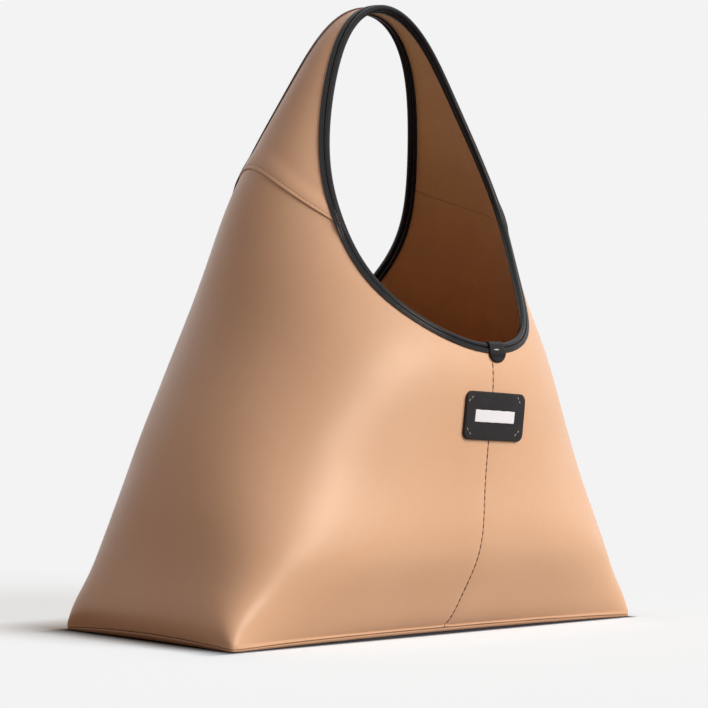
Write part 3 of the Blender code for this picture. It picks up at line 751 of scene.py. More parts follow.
def smooth_leather(name, color):
    """Satin leather: fine pores, soft clouds of colour, slight rubs of roughness, darker cut edges."""
    n = new_finish(name)
    clouds, mottle = n.noise(9.0, 2.0, 0.5), n.noise(160.0, 3.0, 0.6)
    tint = n.tone(clouds, 0.35, 0.65, 1.0, shade(color, 0.965, 0.015), shade(color, 1.03, -0.01))
    tint = n.tone(mottle, 0.3, 0.7, 0.22, tint, shade(color, 0.90, 0.03))
    pores = n.spread(n.cells(1900.0, "F1"), 0.0, 0.25, 0.16, 0.0)
    tint = n.mix(pores, tint, shade(color, 0.55, 0.05))
    tint = n.mix(n.attribute("edge"), tint, shade(color, 0.27, 0.42))
    grain = n.math("ADD", n.cells(1500.0), n.math("MULTIPLY", n.noise(700.0, 2.0), 0.5))
    normal = n.bump(n.noise(45.0, 2.0), 0.25 * MM, 0.35)
    normal = n.bump(grain, 0.045 * MM, 0.5, normal)
    rough = n.spread(n.noise(28.0, 3.0), 0.3, 0.7, 0.33, 0.40)
    rough = n.math("MAXIMUM", rough, n.attribute("edge"))
    return n.finish(tint, rough, normal, Specular_IOR_Level=0.6)


def suede_leather(name, color):
    """Suede: a nap of short fibres that lies this way and that, with soft sheen, and painted light that turns
    it paler towards the crest.
    """
    n = new_finish(name)
    nap, fibres = n.noise(22.0, 4.0, 0.65, 0.6), n.noise(1400.0, 3.0, 0.7)
    # Painted light: from 0.19 m to 0.38 m up, both tones of the nap are mixed towards a paler colour that
    # stands in for the light near the crest
    high = n.spread(n.axes()[2], 0.19, 0.38, 0.0, 1.0)
    dark = n.mix(high, shade(color, 0.72, 0.05), shade(SUEDE_PAINTED_LIGHT, 0.94))
    light = n.mix(high, shade(color, 0.98, 0.03), SUEDE_PAINTED_LIGHT)
    tint = n.tone(nap, 0.3, 0.7, 1.0, dark, light)
    tint = n.tone(fibres, 0.35, 0.65, 0.35, tint, shade(color, 0.62, 0.04))
    normal = n.bump(fibres, 0.10 * MM, 0.55)
    return n.finish(tint, 0.92, normal, Sheen_Weight=0.35, Sheen_Roughness=0.6, Specular_IOR_Level=0.2)


def black_leather(name, color, rough_low, rough_high, edge_color=None, gloss=0.3):
    """Black leather: fine grain, grey rubs where it is handled, a brown line along its cut edge."""
    n = new_finish(name)
    tint = n.tone(n.noise(120.0, 4.0, 0.6), 0.45, 0.8, 0.5, color, shade(color, 1.9))
    if edge_color:
        tint = n.mix(n.attribute("edge"), tint, edge_color)
    grain = n.math("ADD", n.cells(1300.0), n.math("MULTIPLY", n.noise(900.0, 2.0), 0.6))
    rough = n.spread(n.noise(60.0, 3.0), 0.3, 0.7, rough_low, rough_high)
    return n.finish(tint, rough, n.bump(grain, 0.06 * MM, 0.5), Specular_IOR_Level=gloss)


def sewing_thread(name, color):
    """Twisted thread: fine ridges and small changes of tone."""
    n = new_finish(name)
    tint = n.tone(n.noise(900.0, 2.0), 0.3, 0.7, 1.0, shade(color, 0.75), shade(color, 1.15))
    return n.finish(tint, 0.62, n.bump(n.noise(3500.0, 1.0), 0.05 * MM, 0.6), Sheen_Weight=0.2)


def woven_cloth(name, color):
    """Narrow woven tape: rows of fine ribs across it and lines of warp along it."""
    n = new_finish(name)
    weave = n.math("ADD", n.ribs(620.0, "Z"), n.math("MULTIPLY", n.ribs(520.0, "X"), 0.7))
    tint = n.tone(weave, 0.2, 1.4, 1.0, shade(color, 0.90), color)
    return n.finish(tint, 0.85, n.bump(weave, 0.05 * MM, 0.5), Sheen_Weight=0.25)


def fibre_board(name, color):
    """Pressed fibreboard: flecks of darker fibre in a matt grey-brown sheet."""
    n = new_finish(name)
    tint = n.tone(n.noise(600.0, 5.0, 0.7), 0.55, 0.75, 0.6, color, shade(color, 0.5))
    return n.finish(tint, 0.93, n.bump(n.noise(1200.0, 3.0), 0.05 * MM, 0.5))


def cotton_filler(name, color):
    """Twisted cotton: uneven strands and fuzz."""
    n = new_finish(name)
    strands = n.noise(1600.0, 2.0, 0.5, 0.8)
    tint = n.tone(strands, 0.3, 0.7, 1.0, shade(color, 0.7), color)
    return n.finish(tint, 0.9, n.bump(strands, 0.1 * MM, 0.7), Sheen_Weight=0.3)

# Pieces


def seam_pull(points, radius):
    """How far the leather turns down towards a centre seam: a quarter circle at the edge, in a dip."""
    aside = np.abs(points[..., 0] - sway(points[..., 2])[0])
    return bell(aside, *SEAM_DIP) + radius * (1 - rounding(aside, radius))


def below_mouth(reach):
    """1 up to the mouth's lowest point and 0 above it."""
    return 1.0 * (BAG_HEIGHT * (1 - reach**2) <= MOUTH_HEIGHT + 1e-6)


def make_body_half(name, leg, sizes, material):
    """One half of the body: the skin, with a ripple, less a pull to the centre seams and a rounded hem.

    Rows near the base are moved level onto the base's outline, which keeps the hem over the seam.
    """
    turns = np.linspace(0, strap_turns_at(SEAM_LAP), BODY_ARCH_ROWS)[1:]
    columns = across_shares(sizes.columns)
    bottom = base_seam(columns * np.pi / 2)
    reach, angle = half_place(leg, columns, sizes.rows, turns, bottom)
    height = skin(reach, angle)[..., 2]
    reach = np.clip(reach, -reach_of(SHELL_BOTTOM), reach_of(SHELL_BOTTOM))
    points, normals = skin(reach, angle), outward(reach, angle)
    points[..., 2] = np.minimum(points[..., 2], height)
    drop = seam_pull(points, sizes.seam_valley) * below_mouth(reach)
    hem = sizes.hem * (1 - rounding(np.clip(points[..., 2] - bottom, 0, None), sizes.hem))
    rise, size, seed = BODY_RIPPLE
    outer = points + normals * (rise * ripple(points, size, seed) - drop - hem)[..., None]
    inner = points - normals * LEATHER
    edge = np.maximum(darkening(drop / sizes.seam_valley, *SEAM_TINT), darkening(hem / sizes.hem, *HEM_TINT))
    piece = put_sheet(name, outer, inner, material, {"edge": edge})
    return piece


def make_strap(name, material):
    """The strap: its folded ends lie over the body, each with a rounded edge and a sewn furrow.

    Over the skin its height is the lap's lift plus a bell for the fold, less one for the furrow and a
    quarter circle at the edge. Under the lap it is skived thin, and thickens in a smooth step.
    """
    points, normals, distance = strap_grid(STRAP_ROWS, *STRAP_GRID)
    lift = lap_lift(distance)
    hem = (LAP_RISE + STRAP_TUCK) * (1 - rounding(distance, STRAP_EDGE))
    height = lift + bell(distance, *STRAP_FOLD) - bell(distance, *STRAP_FURROW) - hem
    skived = LEATHER * smooth(distance, *STRAP_SKIVE) + LAP_RISE * SKIVED_LAP
    outer = points + normals * height[..., None]
    inner = points + normals * (lift - np.minimum(skived, LEATHER))[..., None]
    piece = put_sheet(name, outer, inner, material, {"edge": darkening(hem / LAP_RISE, *LAP_TINT)})
    return piece


def base_ring(inset, columns):
    """The base's outline in plan, drawn in by distances along its level normals."""
    inset = (inset + 0 * columns)[:, None]
    halves = []
    for leg in (1, -1):
        reach = leg * reach_of(SHELL_BOTTOM) + 0 * columns
        place = reach, seam_angle(reach) * columns
        halves.append((skin(*place)[:, :2] - unit(outward(*place)[:, :2]) * inset)[::leg])
    return np.concatenate(halves)


def make_base(name, material):
    """The base panel, turned up to the base seam.

    Its side leans out like a hull from a foot that stands in from the seam, most in the middle of an
    end. The foot is at 0 and the lip at 1 of the side's height, and across it runs from 1 to 0.
    """
    columns = across_shares(BASE_COLUMNS, edges=False)
    seam = base_seam(columns * np.pi / 2)
    top = seam - SEAM_GAP
    foot = FOOT_CORNER + FOOT_END * (seam - SEAM_CORNER) / SEAM_END
    sheet = LEATHER * np.minimum(1, top / BASE_FULL_HEIGHT)
    steps = [(foot * across, top * up) for across, up in BASE_SIDE]
    steps += [(inset * MM, top * up) for inset, up in BASE_LIP]
    steps += [(inset * MM, sheet + (top - sheet) * up) for inset, up in BASE_INNER]
    rings = [base_ring(inset, columns) for inset, _ in steps]
    rings = [rings[0] * BASE_CENTRE_SHARE] + rings + [rings[-1] * BASE_CENTRE_SHARE]
    heights = [0 * top] + [height for _, height in steps] + [0 * top + LEATHER]
    tall = [np.concatenate([height, height[::-1]]) for height in heights]
    rings = np.stack([np.column_stack([flat, high]) for flat, high in zip(rings, tall)])
    edge = np.zeros(rings.shape[:2])
    edge[len(BASE_SIDE) + 1 :][: len(LIP_TINT)] = np.array(LIP_TINT)[:, None]
    piece = put_ring_sweep(name, rings, material, {"edge": edge})
    return piece


def make_floor_lining(name, material):
    """The lining of the base: a flat sheet with a rounded border and a soft unevenness."""
    bottom = LEATHER + CLEARANCE + BOARD_THICKNESS + CLEARANCE
    outline = base_ring(WALL + 2 * BASE_CLEARANCE, across_shares(FLOOR_COLUMNS, edges=False))
    rise, size, seed = FLOOR_RIPPLE
    rings = []
    for share, full in zip(FLOOR_SHARES, FLOOR_FULL_SHARES):
        ring = np.column_stack([outline * share, np.zeros(len(outline))])
        ring[:, 2] = bottom + LINING * full + rise * ripple(ring, size, seed)
        rings.append(ring)
    under = np.column_stack([outline, np.full(len(outline), bottom)])
    rings += [under, under * (FLOOR_SHARES[1], FLOOR_SHARES[1], 1)]
    piece = put_ring_sweep(name, np.stack(rings), material)
    return piece


def make_half_lining(name, leg, material):
    """The suede of one half, cut beside the seam tapes, with a small turned edge at the strap."""
    turns = turn_of(np.linspace(0, 1, LINING_ARCH_ROWS)[1:] ** LINING_ARCH_POWER * SEAM_SHARE)
    reach, angle = half_place(leg, across_shares(LINING_COLUMNS, edges=False), LINING_ROWS, turns)
    limit = seam_angle(reach, BACKING_WIDTH + 2 * CLEARANCE)
    beside = (np.abs(angle) > limit) & (below_mouth(reach) > 0)
    angle = np.where(beside, np.sign(angle) * limit, angle)
    points, normals = skin(reach, angle), outward(reach, angle)
    near_end = np.linalg.norm(points - points[-1][None], axis=-1)
    thin = LINING * HALF_LINING_THIN * (1 - rounding(near_end, LINING_EDGE))
    inner = points - normals * (WALL - thin)[..., None]
    outer = points + normals * LINING_TOP
    piece = put_sheet(name, outer, inner, material)
    return piece


def make_strap_lining(name, material):
    """The suede inside the strap, with turned edges where it meets the halves."""
    points, normals, distance = strap_grid(STRAP_LINING_ROWS, *STRAP_LINING_GRID)
    thin = LINING * STRAP_LINING_THIN * (1 - rounding(distance - CLEARANCE, LINING_EDGE))
    inner = points - normals * (WALL - thin + bell(distance, *LINING_FOLD))[..., None]
    outer = points + normals * LINING_TOP
    piece = put_sheet(name, outer, inner, material)
    return piece


def make_seam_tape(name, side, material):
    """The strip sewn behind a centre seam: slightly domed, its edges rounded."""
    height = np.linspace(SHELL_BOTTOM + TAPE_START, MOUTH_HEIGHT, TAPE_ROWS)[:, None]
    half = BACKING_WIDTH / 2 * np.array(TAPE_SHARES)[None, :]
    place = front_place(half + 0 * height, height + 0 * half, side)
    points, normals = skin(*place), outward(*place)
    dome = rounding(BACKING_WIDTH / 2 - np.abs(half) + 0 * height, TAPE_EDGE)
    inner = points - normals * (WALL - LINING + LINING * (1 - TAPE_DOME * (1 - dome)))[..., None]
    outer = points + normals * LINING_TOP
    piece = put_sheet(name, outer, inner, material)
    return piece


def binding_profile():
    """The folded strip round a rim, as distances into the wall and heights, once round its section.

    It goes from the outer flange's cut edge over the sewn furrow, down into the groove, round the
    bead's circle, along the inner flange, and back inside the fold.
    """
    bead = np.radians(np.linspace(*BEAD_DEGREES, BEAD_POINTS))
    outside = (np.array(FLANGE_POINTS) + (0, FLANGE_LIFT)) * MM
    circle = np.column_stack([np.cos(bead), np.sin(bead)]) * BEAD_RADIUS - (CORD_SEAT, WALL / 2)
    low = -WALL - RIM_CLEARANCE - BINDING_LEATHER
    inside = np.array(INNER_FLANGE_POINTS) * MM + (0, low)
    fold = -0.2 * MM
    back = [(0.0, low + BINDING_LEATHER), (fold, -WALL), (fold, -0.3 * MM), (0.1 * MM, 0.02 * MM)]
    profile = np.concatenate([outside, circle, inside, back])
    lifted, edge = np.zeros(len(profile)), np.zeros(len(profile))
    lifted[: len(outside)] = lifted[-1] = 1.0
    lifted[len(outside) :][: len(BEAD_LIFTS)] = BEAD_LIFTS
    edge[: len(FLANGE_TINT)], edge[-1] = FLANGE_TINT, 1.0
    return profile, lifted, edge


def make_binding(name, side, material):
    """The binding: its section carried round the rim, lifted where it passes over the strap's laps."""
    turns = np.linspace(0, np.pi, RIM_COLUMNS, endpoint=False)
    profile, lifted, edge = binding_profile()
    lift = rim_lift(turns)[:, None] * lifted[None, :]
    rings = beside_rim(turns, side, profile[None, :, 0], profile[None, :, 1] + lift)
    piece = put_ring_sweep(name, rings, material, {"edge": np.tile(edge, (len(turns), 1))}, joined=True)
    return piece


def rim_points(turns, side, distance, height):
    """Points beside a rim at one distance, one for each turn."""
    return beside_rim(turns, side, np.full((len(turns), 1), distance), height[:, None])[:, 0]


def make_rim_stitches(name, side, pitch, thread, material, skip):
    """The row of fine stitches along the outer flange, left out under the tab."""

    def row(turns):
        return rim_points(turns, side, RIM_ROW, rim_lift(turns) + RIM_ROW_HEIGHT)

    line = sewn_line(row, lambda turns: rim_place(turns, side), 0.0, np.pi, pitch)
    aside, high = np.abs(line[0][:, 0] - skip), line[0][:, 2]
    keep = (aside > TAB_WIDTH / 2 + RIM_SKIP) | (high > MOUTH_HEIGHT + RIM_SKIP_RISE)
    sizes = (pitch * RIM_STITCH_SHARE, *(thread * share for share in RIM_THREAD_SHARES))
    piece = put_stitches(name, *(values[keep] for values in line), *sizes, material)
    return piece


def tab_turns(side, offset, places):
    """Turns of a rim at given distances across a tab."""
    table = np.linspace(-turn_of(SEAM_SHARE), turn_of(SEAM_SHARE), 2001)
    x = skin(*rim_place(table, side))[:, 0] - sway(MOUTH_HEIGHT)[0]
    return np.interp(places + offset, x, table)


def make_tab(name, side, offset, material):
    """The tongue folded over a binding: flat outside, half an ellipse round the bead, flat inside.

    Its outer end is half an ellipse in outline, and its thickness falls off along every edge as a
    quarter circle.
    """
    share = np.concatenate([-np.array(TAB_ACROSS_SHARES), [0], TAB_ACROSS_SHARES[::-1]])
    turns = tab_turns(side, offset, TAB_WIDTH / 2 * share)
    top = CLEARANCE + BINDING_LEATHER + TAB_EASE
    low = -WALL - RIM_CLEARANCE - BINDING_LEATHER - TAB_EASE
    bore, centre = BEAD_RADIUS + TAB_EASE, -WALL / 2
    start = FLANGE + CLEARANCE
    ends = start + (TAB_LENGTH - start) * np.sqrt(np.clip(1 - (share * TAB_ROUND) ** 2, 0, 1))
    ends, sides = ends[:, None], ((1 - np.abs(share)) * TAB_WIDTH / 2)[:, None]
    arc = np.linspace(0, np.pi, TAB_ARC)[None, :]
    first = ends + (-CORD_SEAT - ends) * np.array(TAB_OUTSIDE_SHARES)
    third = -CORD_SEAT + (TAB_INSIDE + CORD_SEAT) * np.array(TAB_INSIDE_SHARES) + 0 * sides
    sunk = smooth(first, start, start + 3 * MM) * TAB_SINK

    def surface(thick):
        around = rounding(sides + 0 * arc, TAB_EDGE) * thick
        tall = np.where(np.cos(arc) > 0, top - centre, centre - low) + around
        second = -CORD_SEAT - (bore + around) * np.sin(arc)
        heights = (
            top - sunk + thick * rounding(np.minimum(ends - first, sides), TAB_EDGE),
            centre + tall * np.cos(arc),
            low - thick * rounding(np.minimum(TAB_INSIDE - third, sides), TAB_EDGE),
        )
        distances = np.concatenate([first, second, third], axis=1)
        return beside_rim(turns, side, distances, np.concatenate(heights, axis=1))

    piece = put_sheet(name, surface(TAB_LEATHER), surface(0.02 * MM), material)
    return piece


def rounded_outline(width, height, corner, count=14):
    """The outline of a rectangle with rounded corners, anticlockwise."""
    turn = np.linspace(0, np.pi / 2, count)
    between = np.linspace(0, 1, 22)[1:-1, None]
    arcs = []
    for k, (right, up) in enumerate(((1, 1), (-1, 1), (-1, -1), (1, -1))):
        around = turn + k * np.pi / 2
        centre = (right * (width / 2 - corner), up * (height / 2 - corner))
        arcs.append(centre + corner * np.column_stack([np.cos(around), np.sin(around)]))
    lines = [arc[-1] + (after[0] - arc[-1]) * between for arc, after in zip(arcs, arcs[1:] + arcs[:1])]
    return np.concatenate([part for pair in zip(arcs, lines) for part in pair])


def plaque_place(across, up):
    """Points and normals of the front face under a place of the patch, with the patch's small tilt."""
    tilt = np.radians(PATCH_TILT_DEGREES)
    x = PATCH_OFFSET + across * np.cos(tilt) + up * np.sin(tilt)
    reach, angle = front_place(x, PATCH_LEVEL + up * np.cos(tilt) - across * np.sin(tilt))
    return skin(reach, angle), outward(reach, angle)


def put_plaque(name, outline, middle, lift, thickness, radius, material, wave=0.0):
    """A thin piece on the front face: rings of its outline, drawn in step by step to its middle.

    The height over each ring follows a quarter circle from the edge.
    """
    near = np.array(PLAQUE_EDGE_SHARES) * radius
    size = outline.max(axis=0) - outline.min(axis=0)
    rings = [outline * (1 - 2 * inset / size) for inset in near]
    rings += [rings[-1] * share for share in PLAQUE_MIDDLE_SHARES]
    heights = list(rounding(near, radius)) + [1.0] * len(PLAQUE_MIDDLE_SHARES)

    def level(ring, rise, wave=0.0):
        points, normals = plaque_place(ring[:, 0] + middle, ring[:, 1])
        return points + normals * (rise + wave * ripple(points, *PLAQUE_RIPPLE))[:, None]

    below = [level(ring, lift - 0.5 * thickness) for ring in (rings[-1], outline)]
    above = [level(ring, lift + thickness * share, wave) for ring, share in zip(rings, heights)]
    grid = np.stack(below + above)
    edge = np.zeros(grid.shape[:2])
    edge[1:4] = np.array(PLAQUE_TINT)[:, None]
    return put_ring_sweep(name, grid, material, {"edge": edge})


def make_patch(name, material):
    """The patch: a rectangle with rounded corners, laid on the front face and rounded at its edge."""
    outline = rounded_outline(PATCH_WIDTH, PATCH_HEIGHT, PATCH_CORNER)
    thickness = PATCH_CLEARANCE + PATCH_LEATHER - PATCH_LIFT
    piece = put_plaque(name, outline, 0.0, PATCH_LIFT, thickness, PATCH_EDGE, material)
    return piece


def make_woven_strip(name, material):
    """The bare woven strip on the patch: a rectangle whose long edges follow a slight sine."""
    outline = rounded_outline(LABEL_WIDTH, LABEL_HEIGHT, LABEL_CORNER, 4)
    edge = np.abs(outline[:, 1]) > LABEL_HEIGHT * 0.45
    outline[:, 1] += edge * LABEL_WAVE * np.sin(outline[:, 0] / LABEL_WAVE_SIZE)
    sizes = (PATCH_CLEARANCE + PATCH_LEATHER + LABEL_LIFT, LABEL_RISE, LABEL_EDGE)
    piece = put_plaque(name, outline, LABEL_OFFSET, *sizes, material, LABEL_RIPPLE)
    return piece


def make_seam_stitches(name, side, sizes, material):
    """Stitches that lie in the valley of a centre seam, from the base to the binding."""

    def place(height):
        return reach_of(height), side * np.pi / 2 + 0 * height

    def row(height):
        return skin(*place(height))

    low, high = SHELL_BOTTOM + SEAM_STITCH_START, MOUTH_HEIGHT - SEAM_STITCH_END
    places, runs, normals = sewn_line(row, place, low, high, sizes.stitch_pitch)
    places = places - normals * SEAM_STITCH_DEPTH
    length, thread = sizes.stitch_pitch * SEAM_STITCH_SHARE, sizes.thread * SEAM_THREAD_SHARE
    piece = put_stitches(name, places, runs, normals, length, thread, thread, material)
    return piece


def make_strap_stitches(name, sizes, material):
    """Both rows of stitches in the furrows across the strap's folded ends."""
    turn = strap_turns_at(STRAP_FURROW[1])
    sets = []
    for _, leg in LEGS:

        def place(across, leg=leg):
            return arch_place(leg, turn, across)

        def row(across, place=place):
            return skin(*place(across))

        sets.append(sewn_line(row, place, -STRAP_STITCH_REACH, STRAP_STITCH_REACH, STRAP_PITCH))
    places, runs, normals = (np.concatenate(items) for items in zip(*sets))
    places = places + normals * (LAP_RISE - STRAP_STITCH_SINK)
    piece = put_stitches(name, places, runs, normals, STRAP_STITCH, sizes.thread, sizes.thread, material)
    return piece


def make_patch_stitches(name, thread, material):
    """Two short stitches at each corner of the patch."""
    across, up, lean = np.array(PATCH_STITCHES).T * ((MM,), (MM,), (np.pi / 180,))
    points, normals = plaque_place(across, up)
    ahead, _ = plaque_place(across + STEP * np.cos(lean), up + STEP * np.sin(lean))
    places = points + normals * (PATCH_CLEARANCE + PATCH_LEATHER + LABEL_LIFT)
    piece = put_stitches(name, places, ahead - points, normals, PATCH_STITCH, thread, thread, material)
    return piece


def make_tab_stitches(name, thread, material):
    """One short stitch across each tab, just below its bead."""
    height = CLEARANCE + BINDING_LEATHER + TAB_EASE + TAB_LEATHER
    sets = []
    for _, side, middle in TABS:
        turns = tab_turns(side, middle, np.array([-STEP, 0.0, STEP]) - TAB_STITCH_ASIDE)
        line = rim_points(turns, side, TAB_STITCH_ROW, np.full(3, height))
        sets.append((line[1:2], line[2:] - line[:1], outward(*rim_place(turns[1:2], side))))
    line = (np.concatenate(items) for items in zip(*sets))
    sizes = (TAB_STITCH, *(thread * share for share in TAB_THREAD_SHARES))
    piece = put_stitches(name, *line, *sizes, material)
    return piece

# Operators


def settings():
    scene = bpy.context.scene
    return scene.tote_sizes, scene.tote_colours, scene.tote_stage


class TOTE_OT_body(bpy.types.Operator):
    """Makes the two halves of the body in tan leather"""

    bl_idname = "tote.body"
    bl_label = "Body halves"

    def execute(self, context):
        sizes, colours, _ = settings()
        tan = smooth_leather("tan_leather_finish", colours.leather)
        for name, leg in LEGS:
            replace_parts(make_body_half(f"body_{name}", leg, sizes, tan), f"shell_{name}")
        return {"FINISHED"}


class TOTE_OT_strap(bpy.types.Operator):
    """Makes the strap that laps over both halves"""

    bl_idname = "tote.strap"
    bl_label = "Strap"

    def execute(self, context):
        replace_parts(make_strap("strap_leather", bpy.data.materials["tan_leather_finish"]), "strap")
        return {"FINISHED"}


class TOTE_OT_base(bpy.types.Operator):
    """Makes the base panel with its turned-up edge"""

    bl_idname = "tote.base"
    bl_label = "Base panel"

    def execute(self, context):
        _, colours, _ = settings()
        finish = smooth_leather("base_leather_finish", colours.base)
        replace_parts(make_base("base_turned_up", finish), "base_panel")
        return {"FINISHED"}


class TOTE_OT_lining(bpy.types.Operator):
    """Makes the suede linings and the tapes behind the centre seams"""

    bl_idname = "tote.lining"
    bl_label = "Linings"

    def execute(self, context):
        _, colours, _ = settings()
        suede = suede_leather("suede_finish", colours.suede)
        for name, leg in LEGS:
            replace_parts(make_half_lining(f"suede_{name}", leg, suede), f"lining_{name}")
        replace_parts(make_strap_lining("suede_strap", suede), "lining_strap")
        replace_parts(make_floor_lining("suede_floor", suede), "lining_base")
        tape = suede_leather("seam_tape_finish", shade(colours.suede, 0.9))
        for name, side in FACES:
            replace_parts(make_seam_tape(f"seam_tape_{name}", side, tape), f"{name}_seam_backing")
        return {"FINISHED"}


class TOTE_OT_bindings(bpy.types.Operator):
    """Makes the black binding of both mouths and its row of stitches"""

    bl_idname = "tote.bindings"
    bl_label = "Bindings"

    def execute(self, context):
        sizes, colours, _ = settings()
        black = black_leather("binding_finish", colours.binding, 0.22, 0.34, EDGE_BROWN, 0.35)
        thread = sewing_thread("black_thread_finish", shade(colours.binding, 2.2))
        for name, side, offset in TABS:
            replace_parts(make_binding(f"binding_{name}", side, black), f"{name}_binding")
            make_rim_stitches(f"rim_stitches_{name}", side, sizes.rim_pitch, sizes.thread, thread, offset)
        return {"FINISHED"}


class TOTE_OT_tabs(bpy.types.Operator):
    """Makes the tongue over each binding's joint, with its stitch"""

    bl_idname = "tote.tabs"
    bl_label = "Tabs"

    def execute(self, context):
        sizes, colours, _ = settings()
        black = black_leather("tab_finish", colours.binding, 0.36, 0.48)
        for name, side, offset in TABS:
            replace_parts(make_tab(f"tab_{name}", side, offset, black), f"{name}_tab")
        cream = sewing_thread("cream_thread_finish", colours.cream)
        make_tab_stitches("tab_stitches", sizes.thread, cream)
        return {"FINISHED"}


class TOTE_OT_patch(bpy.types.Operator):
    """Makes the patch, its bare woven strip and its corner stitches"""

    bl_idname = "tote.patch"
    bl_label = "Patch"

    def execute(self, context):
        sizes, colours, _ = settings()
        finish = black_leather("patch_finish", colours.patch, 0.5, 0.62, PATCH_EDGE_BROWN)
        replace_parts(make_patch("patch_leather", finish), "label_patch")
        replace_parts(make_woven_strip("woven_strip", woven_cloth("woven_finish", WOVEN_WHITE)), "woven_label")
        make_patch_stitches("patch_stitches", sizes.thread, bpy.data.materials["cream_thread_finish"])
        return {"FINISHED"}


class TOTE_OT_stitches(bpy.types.Operator):
    """Makes the stitches of the centre seams and of the strap's seams"""

    bl_idname = "tote.stitches"
    bl_label = "Seam stitches"

    def execute(self, context):
        sizes, colours, _ = settings()
        brown = sewing_thread("brown_thread_finish", colours.brown)
        for name, side in FACES:
            make_seam_stitches(f"seam_stitches_{name}", side, sizes, brown)
        tan = sewing_thread("tan_thread_finish", shade(colours.leather, 0.72))
        make_strap_stitches("strap_stitches", sizes, tan)
        return {"FINISHED"}


class TOTE_OT_hidden(bpy.types.Operator):
    """Gives the pieces inside the bag their finishes"""

    bl_idname = "tote.hidden"
    bl_label = "Inner pieces"

    def execute(self, context):
        board, cord = fibre_board("board_finish", BOARD_GREY), cotton_filler("cord_finish", CORD_WHITE)
        finishes = {"base_board": board, "front_binding_cord": cord, "back_binding_cord": cord}
        for node, finish in finishes.items():
            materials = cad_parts[node].data.materials
            materials.clear()
            materials.append(finish)
        return {"FINISHED"}


def add_sun(name, strength, angle_degrees, towards, colour, shines):
    """A distant lamp whose light comes from the given direction, with or without a reflection."""
    lamp = bpy.data.lights.new(name, "SUN")
    lamp.energy = strength
    lamp.color = colour
    lamp.angle = np.radians(angle_degrees)
    placed = put_object(name, lamp)
    placed.rotation_euler = Vector(towards).to_track_quat("Z", "Y").to_euler()
    placed.visible_glossy, placed.visible_diffuse = shines, not shines


def floor_light(stage):
    """How brightly all lamps light a level white surface, red, green and blue."""
    suns = sum(
        getattr(stage, strength) * ways[2] * np.array(hue)
        for _, strength, _, ways, hue, shines in LAMPS
        if not shines
    )
    return suns / np.pi + stage.fill * np.array(stage.warmth)


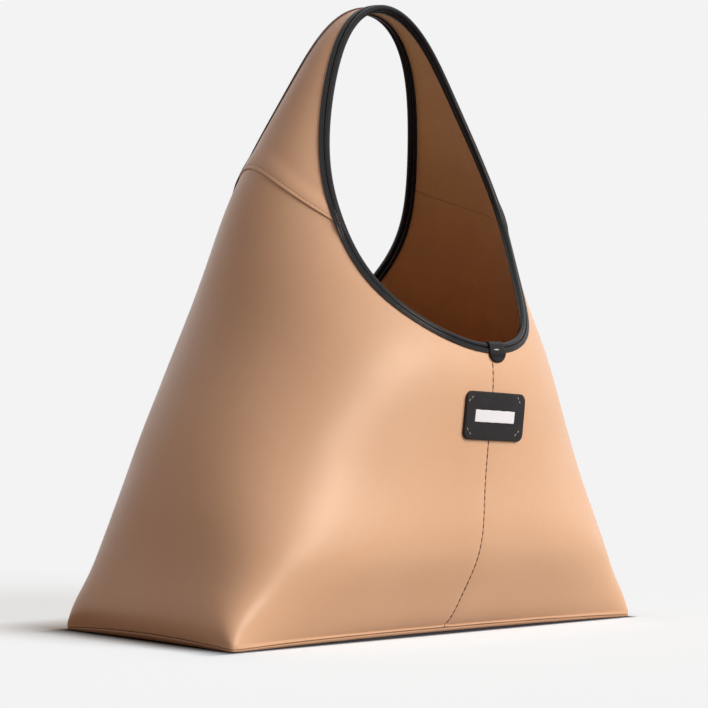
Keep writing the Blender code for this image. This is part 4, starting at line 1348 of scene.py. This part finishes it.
class TOTE_OT_stage(bpy.types.Operator):
    """Makes the floor, the light and the camera"""

    bl_idname = "tote.stage"
    bl_label = "Stage"

    def execute(self, context):
        _, colours, stage = settings()
        bpy.context.scene.view_settings.view_transform = "Standard"
        self.make_floor(colours, stage)
        self.make_world(colours, stage)
        for name, strength, angle, ways, hue, shines in LAMPS:
            add_sun(name, getattr(stage, strength), angle, ways, hue, shines)
        self.make_camera()
        return {"FINISHED"}

    def make_floor(self, colours, stage):
        """A matt plane that the camera sees in the background's tone where it is lit.

        Part of that tone is a glow, which fades towards the bag and keeps the shadows deep there. A
        narrow strip beside the base, wider at the left end, is darkened with a painted shadow.
        """
        mesh = bpy.data.meshes.new("floor")
        corners = [(x * FLOOR_SIZE, y * FLOOR_SIZE, FLOOR_LEVEL) for x, y in FLOOR_CORNERS]
        mesh.from_pydata(corners, [], [(0, 1, 2, 3)])
        n = new_finish("floor_finish")
        camera = n.add("ShaderNodeLightPath").outputs["Is Camera Ray"]
        axes = n.axes()
        beyond = []
        for axis, half in ((0, BASE_LENGTH / 2), (1, BASE_DEPTH / 2)):
            aside = n.math("SUBTRACT", n.math("ABSOLUTE", axes[axis]), half)
            beyond.append(n.math("POWER", n.math("MAXIMUM", aside, 0.0), 2.0))
        distance = n.math("SQRT", n.math("ADD", *beyond))
        # A painted shadow beside the base: the floor's colour is darkened close to the base, farthest out
        # beside the left end
        left = n.math("LESS_THAN", axes[0], 0.0)
        wide = n.math("DIVIDE", beyond[0], n.spread(left, 0.0, 1.0, PAINTED_SHADOW_REACH[1] ** 2, PAINTED_SHADOW_REACH[0] ** 2))
        close = n.math("ADD", wide, n.math("DIVIDE", beyond[1], PAINTED_SHADOW_REACH[1] ** 2))
        painted_shadow_share = n.spread(n.math("SQRT", close), 0.0, 1.0, PAINTED_SHADOW_LEAST, 1.0)
        pale = np.array(colours.pale)
        lit = pale / floor_light(stage)
        near = n.mix(n.spread(distance, 0.0, FLOOR_FADE, 0.0, 1.0), lit * NEAR_TONE, lit)
        near = n.mix(painted_shadow_share, PAINTED_SHADOW_COLOUR, near)
        glow, matt = n.add("ShaderNodeEmission"), n.add("ShaderNodeBsdfDiffuse")
        n.join(pale, glow.inputs["Color"])
        n.join(n.mix(camera, FLOOR_GREY, near), matt.inputs["Color"])
        share = n.math("MULTIPLY", camera, n.spread(distance, 0.0, FLOOR_FADE, 0.0, FLOOR_GLOW))
        n.mix_shaders(share, matt, glow, n.tree.nodes["Material Output"])
        mesh.materials.append(n.owner)
        floor = put_object("floor", mesh)

    def make_world(self, colours, stage):
        """Even light from all round, seen as the background's colour by camera, glossy and glass rays."""
        world = bpy.data.worlds.new("studio")
        bpy.context.scene.world = world
        n = Nodes(world)
        n.tree.nodes.clear()
        light, seen = n.add("ShaderNodeBackground"), n.add("ShaderNodeBackground")
        n.join(stage.warmth, light.inputs["Color"])
        n.join(stage.fill, light.inputs["Strength"])
        n.join(colours.pale, seen.inputs["Color"])
        rays = n.add("ShaderNodeLightPath").outputs
        straight = n.math("MAXIMUM", rays["Is Camera Ray"], rays["Is Glossy Ray"])
        straight = n.math("MAXIMUM", straight, rays["Is Transmission Ray"])
        n.mix_shaders(straight, light, seen, n.add("ShaderNodeOutputWorld"))

    def make_camera(self):
        """The photograph's view, from its place, its three axes and its focal length."""
        lens = bpy.data.cameras.new("camera")
        lens.sensor_width = SENSOR_WIDTH
        lens.lens = SENSOR_WIDTH * FOCAL_PIXELS / PICTURE_PIXELS
        lens.clip_end = VIEW_END
        camera = put_object("camera", lens)
        turned = Matrix((CAMERA_RIGHT, CAMERA_UP, CAMERA_BACK)).transposed().to_4x4()
        camera.matrix_world = Matrix.Translation(CAMERA_PLACE) @ turned
        bpy.context.scene.camera = camera


OPERATORS = (
    TOTE_OT_body, TOTE_OT_strap, TOTE_OT_base, TOTE_OT_lining, TOTE_OT_bindings, TOTE_OT_tabs,
    TOTE_OT_patch, TOTE_OT_stitches, TOTE_OT_hidden, TOTE_OT_stage,
)


class TOTE_PT_panel(bpy.types.Panel):
    """Lists the bag's pieces and sizes"""

    bl_idname = "TOTE_PT_panel"
    bl_label = "Tote bag"
    bl_space_type = "VIEW_3D"
    bl_region_type = "UI"
    bl_category = "Tote bag"

    def draw(self, context):
        for group in settings():
            for key in group.bl_rna.properties.keys():
                if key not in ("rna_type", "name"):
                    self.layout.prop(group, key)
        for operator in OPERATORS:
            self.layout.operator(operator.bl_idname)


CLASSES = (DressingSizes, DressingColours, StageSettings, *OPERATORS, TOTE_PT_panel)


def register():
    for item in CLASSES:
        bpy.utils.register_class(item)
    bpy.types.Scene.tote_sizes = PointerProperty(type=DressingSizes)
    bpy.types.Scene.tote_colours = PointerProperty(type=DressingColours)
    bpy.types.Scene.tote_stage = PointerProperty(type=StageSettings)


def unregister():
    for label in ("tote_sizes", "tote_colours", "tote_stage"):
        delattr(bpy.types.Scene, label)
    for item in reversed(CLASSES):
        bpy.utils.unregister_class(item)


def main():
    register()
    for operator in OPERATORS:
        group, call = operator.bl_idname.split(".")
        getattr(getattr(bpy.ops, group), call)()


if __name__ == "__main__":
    main()
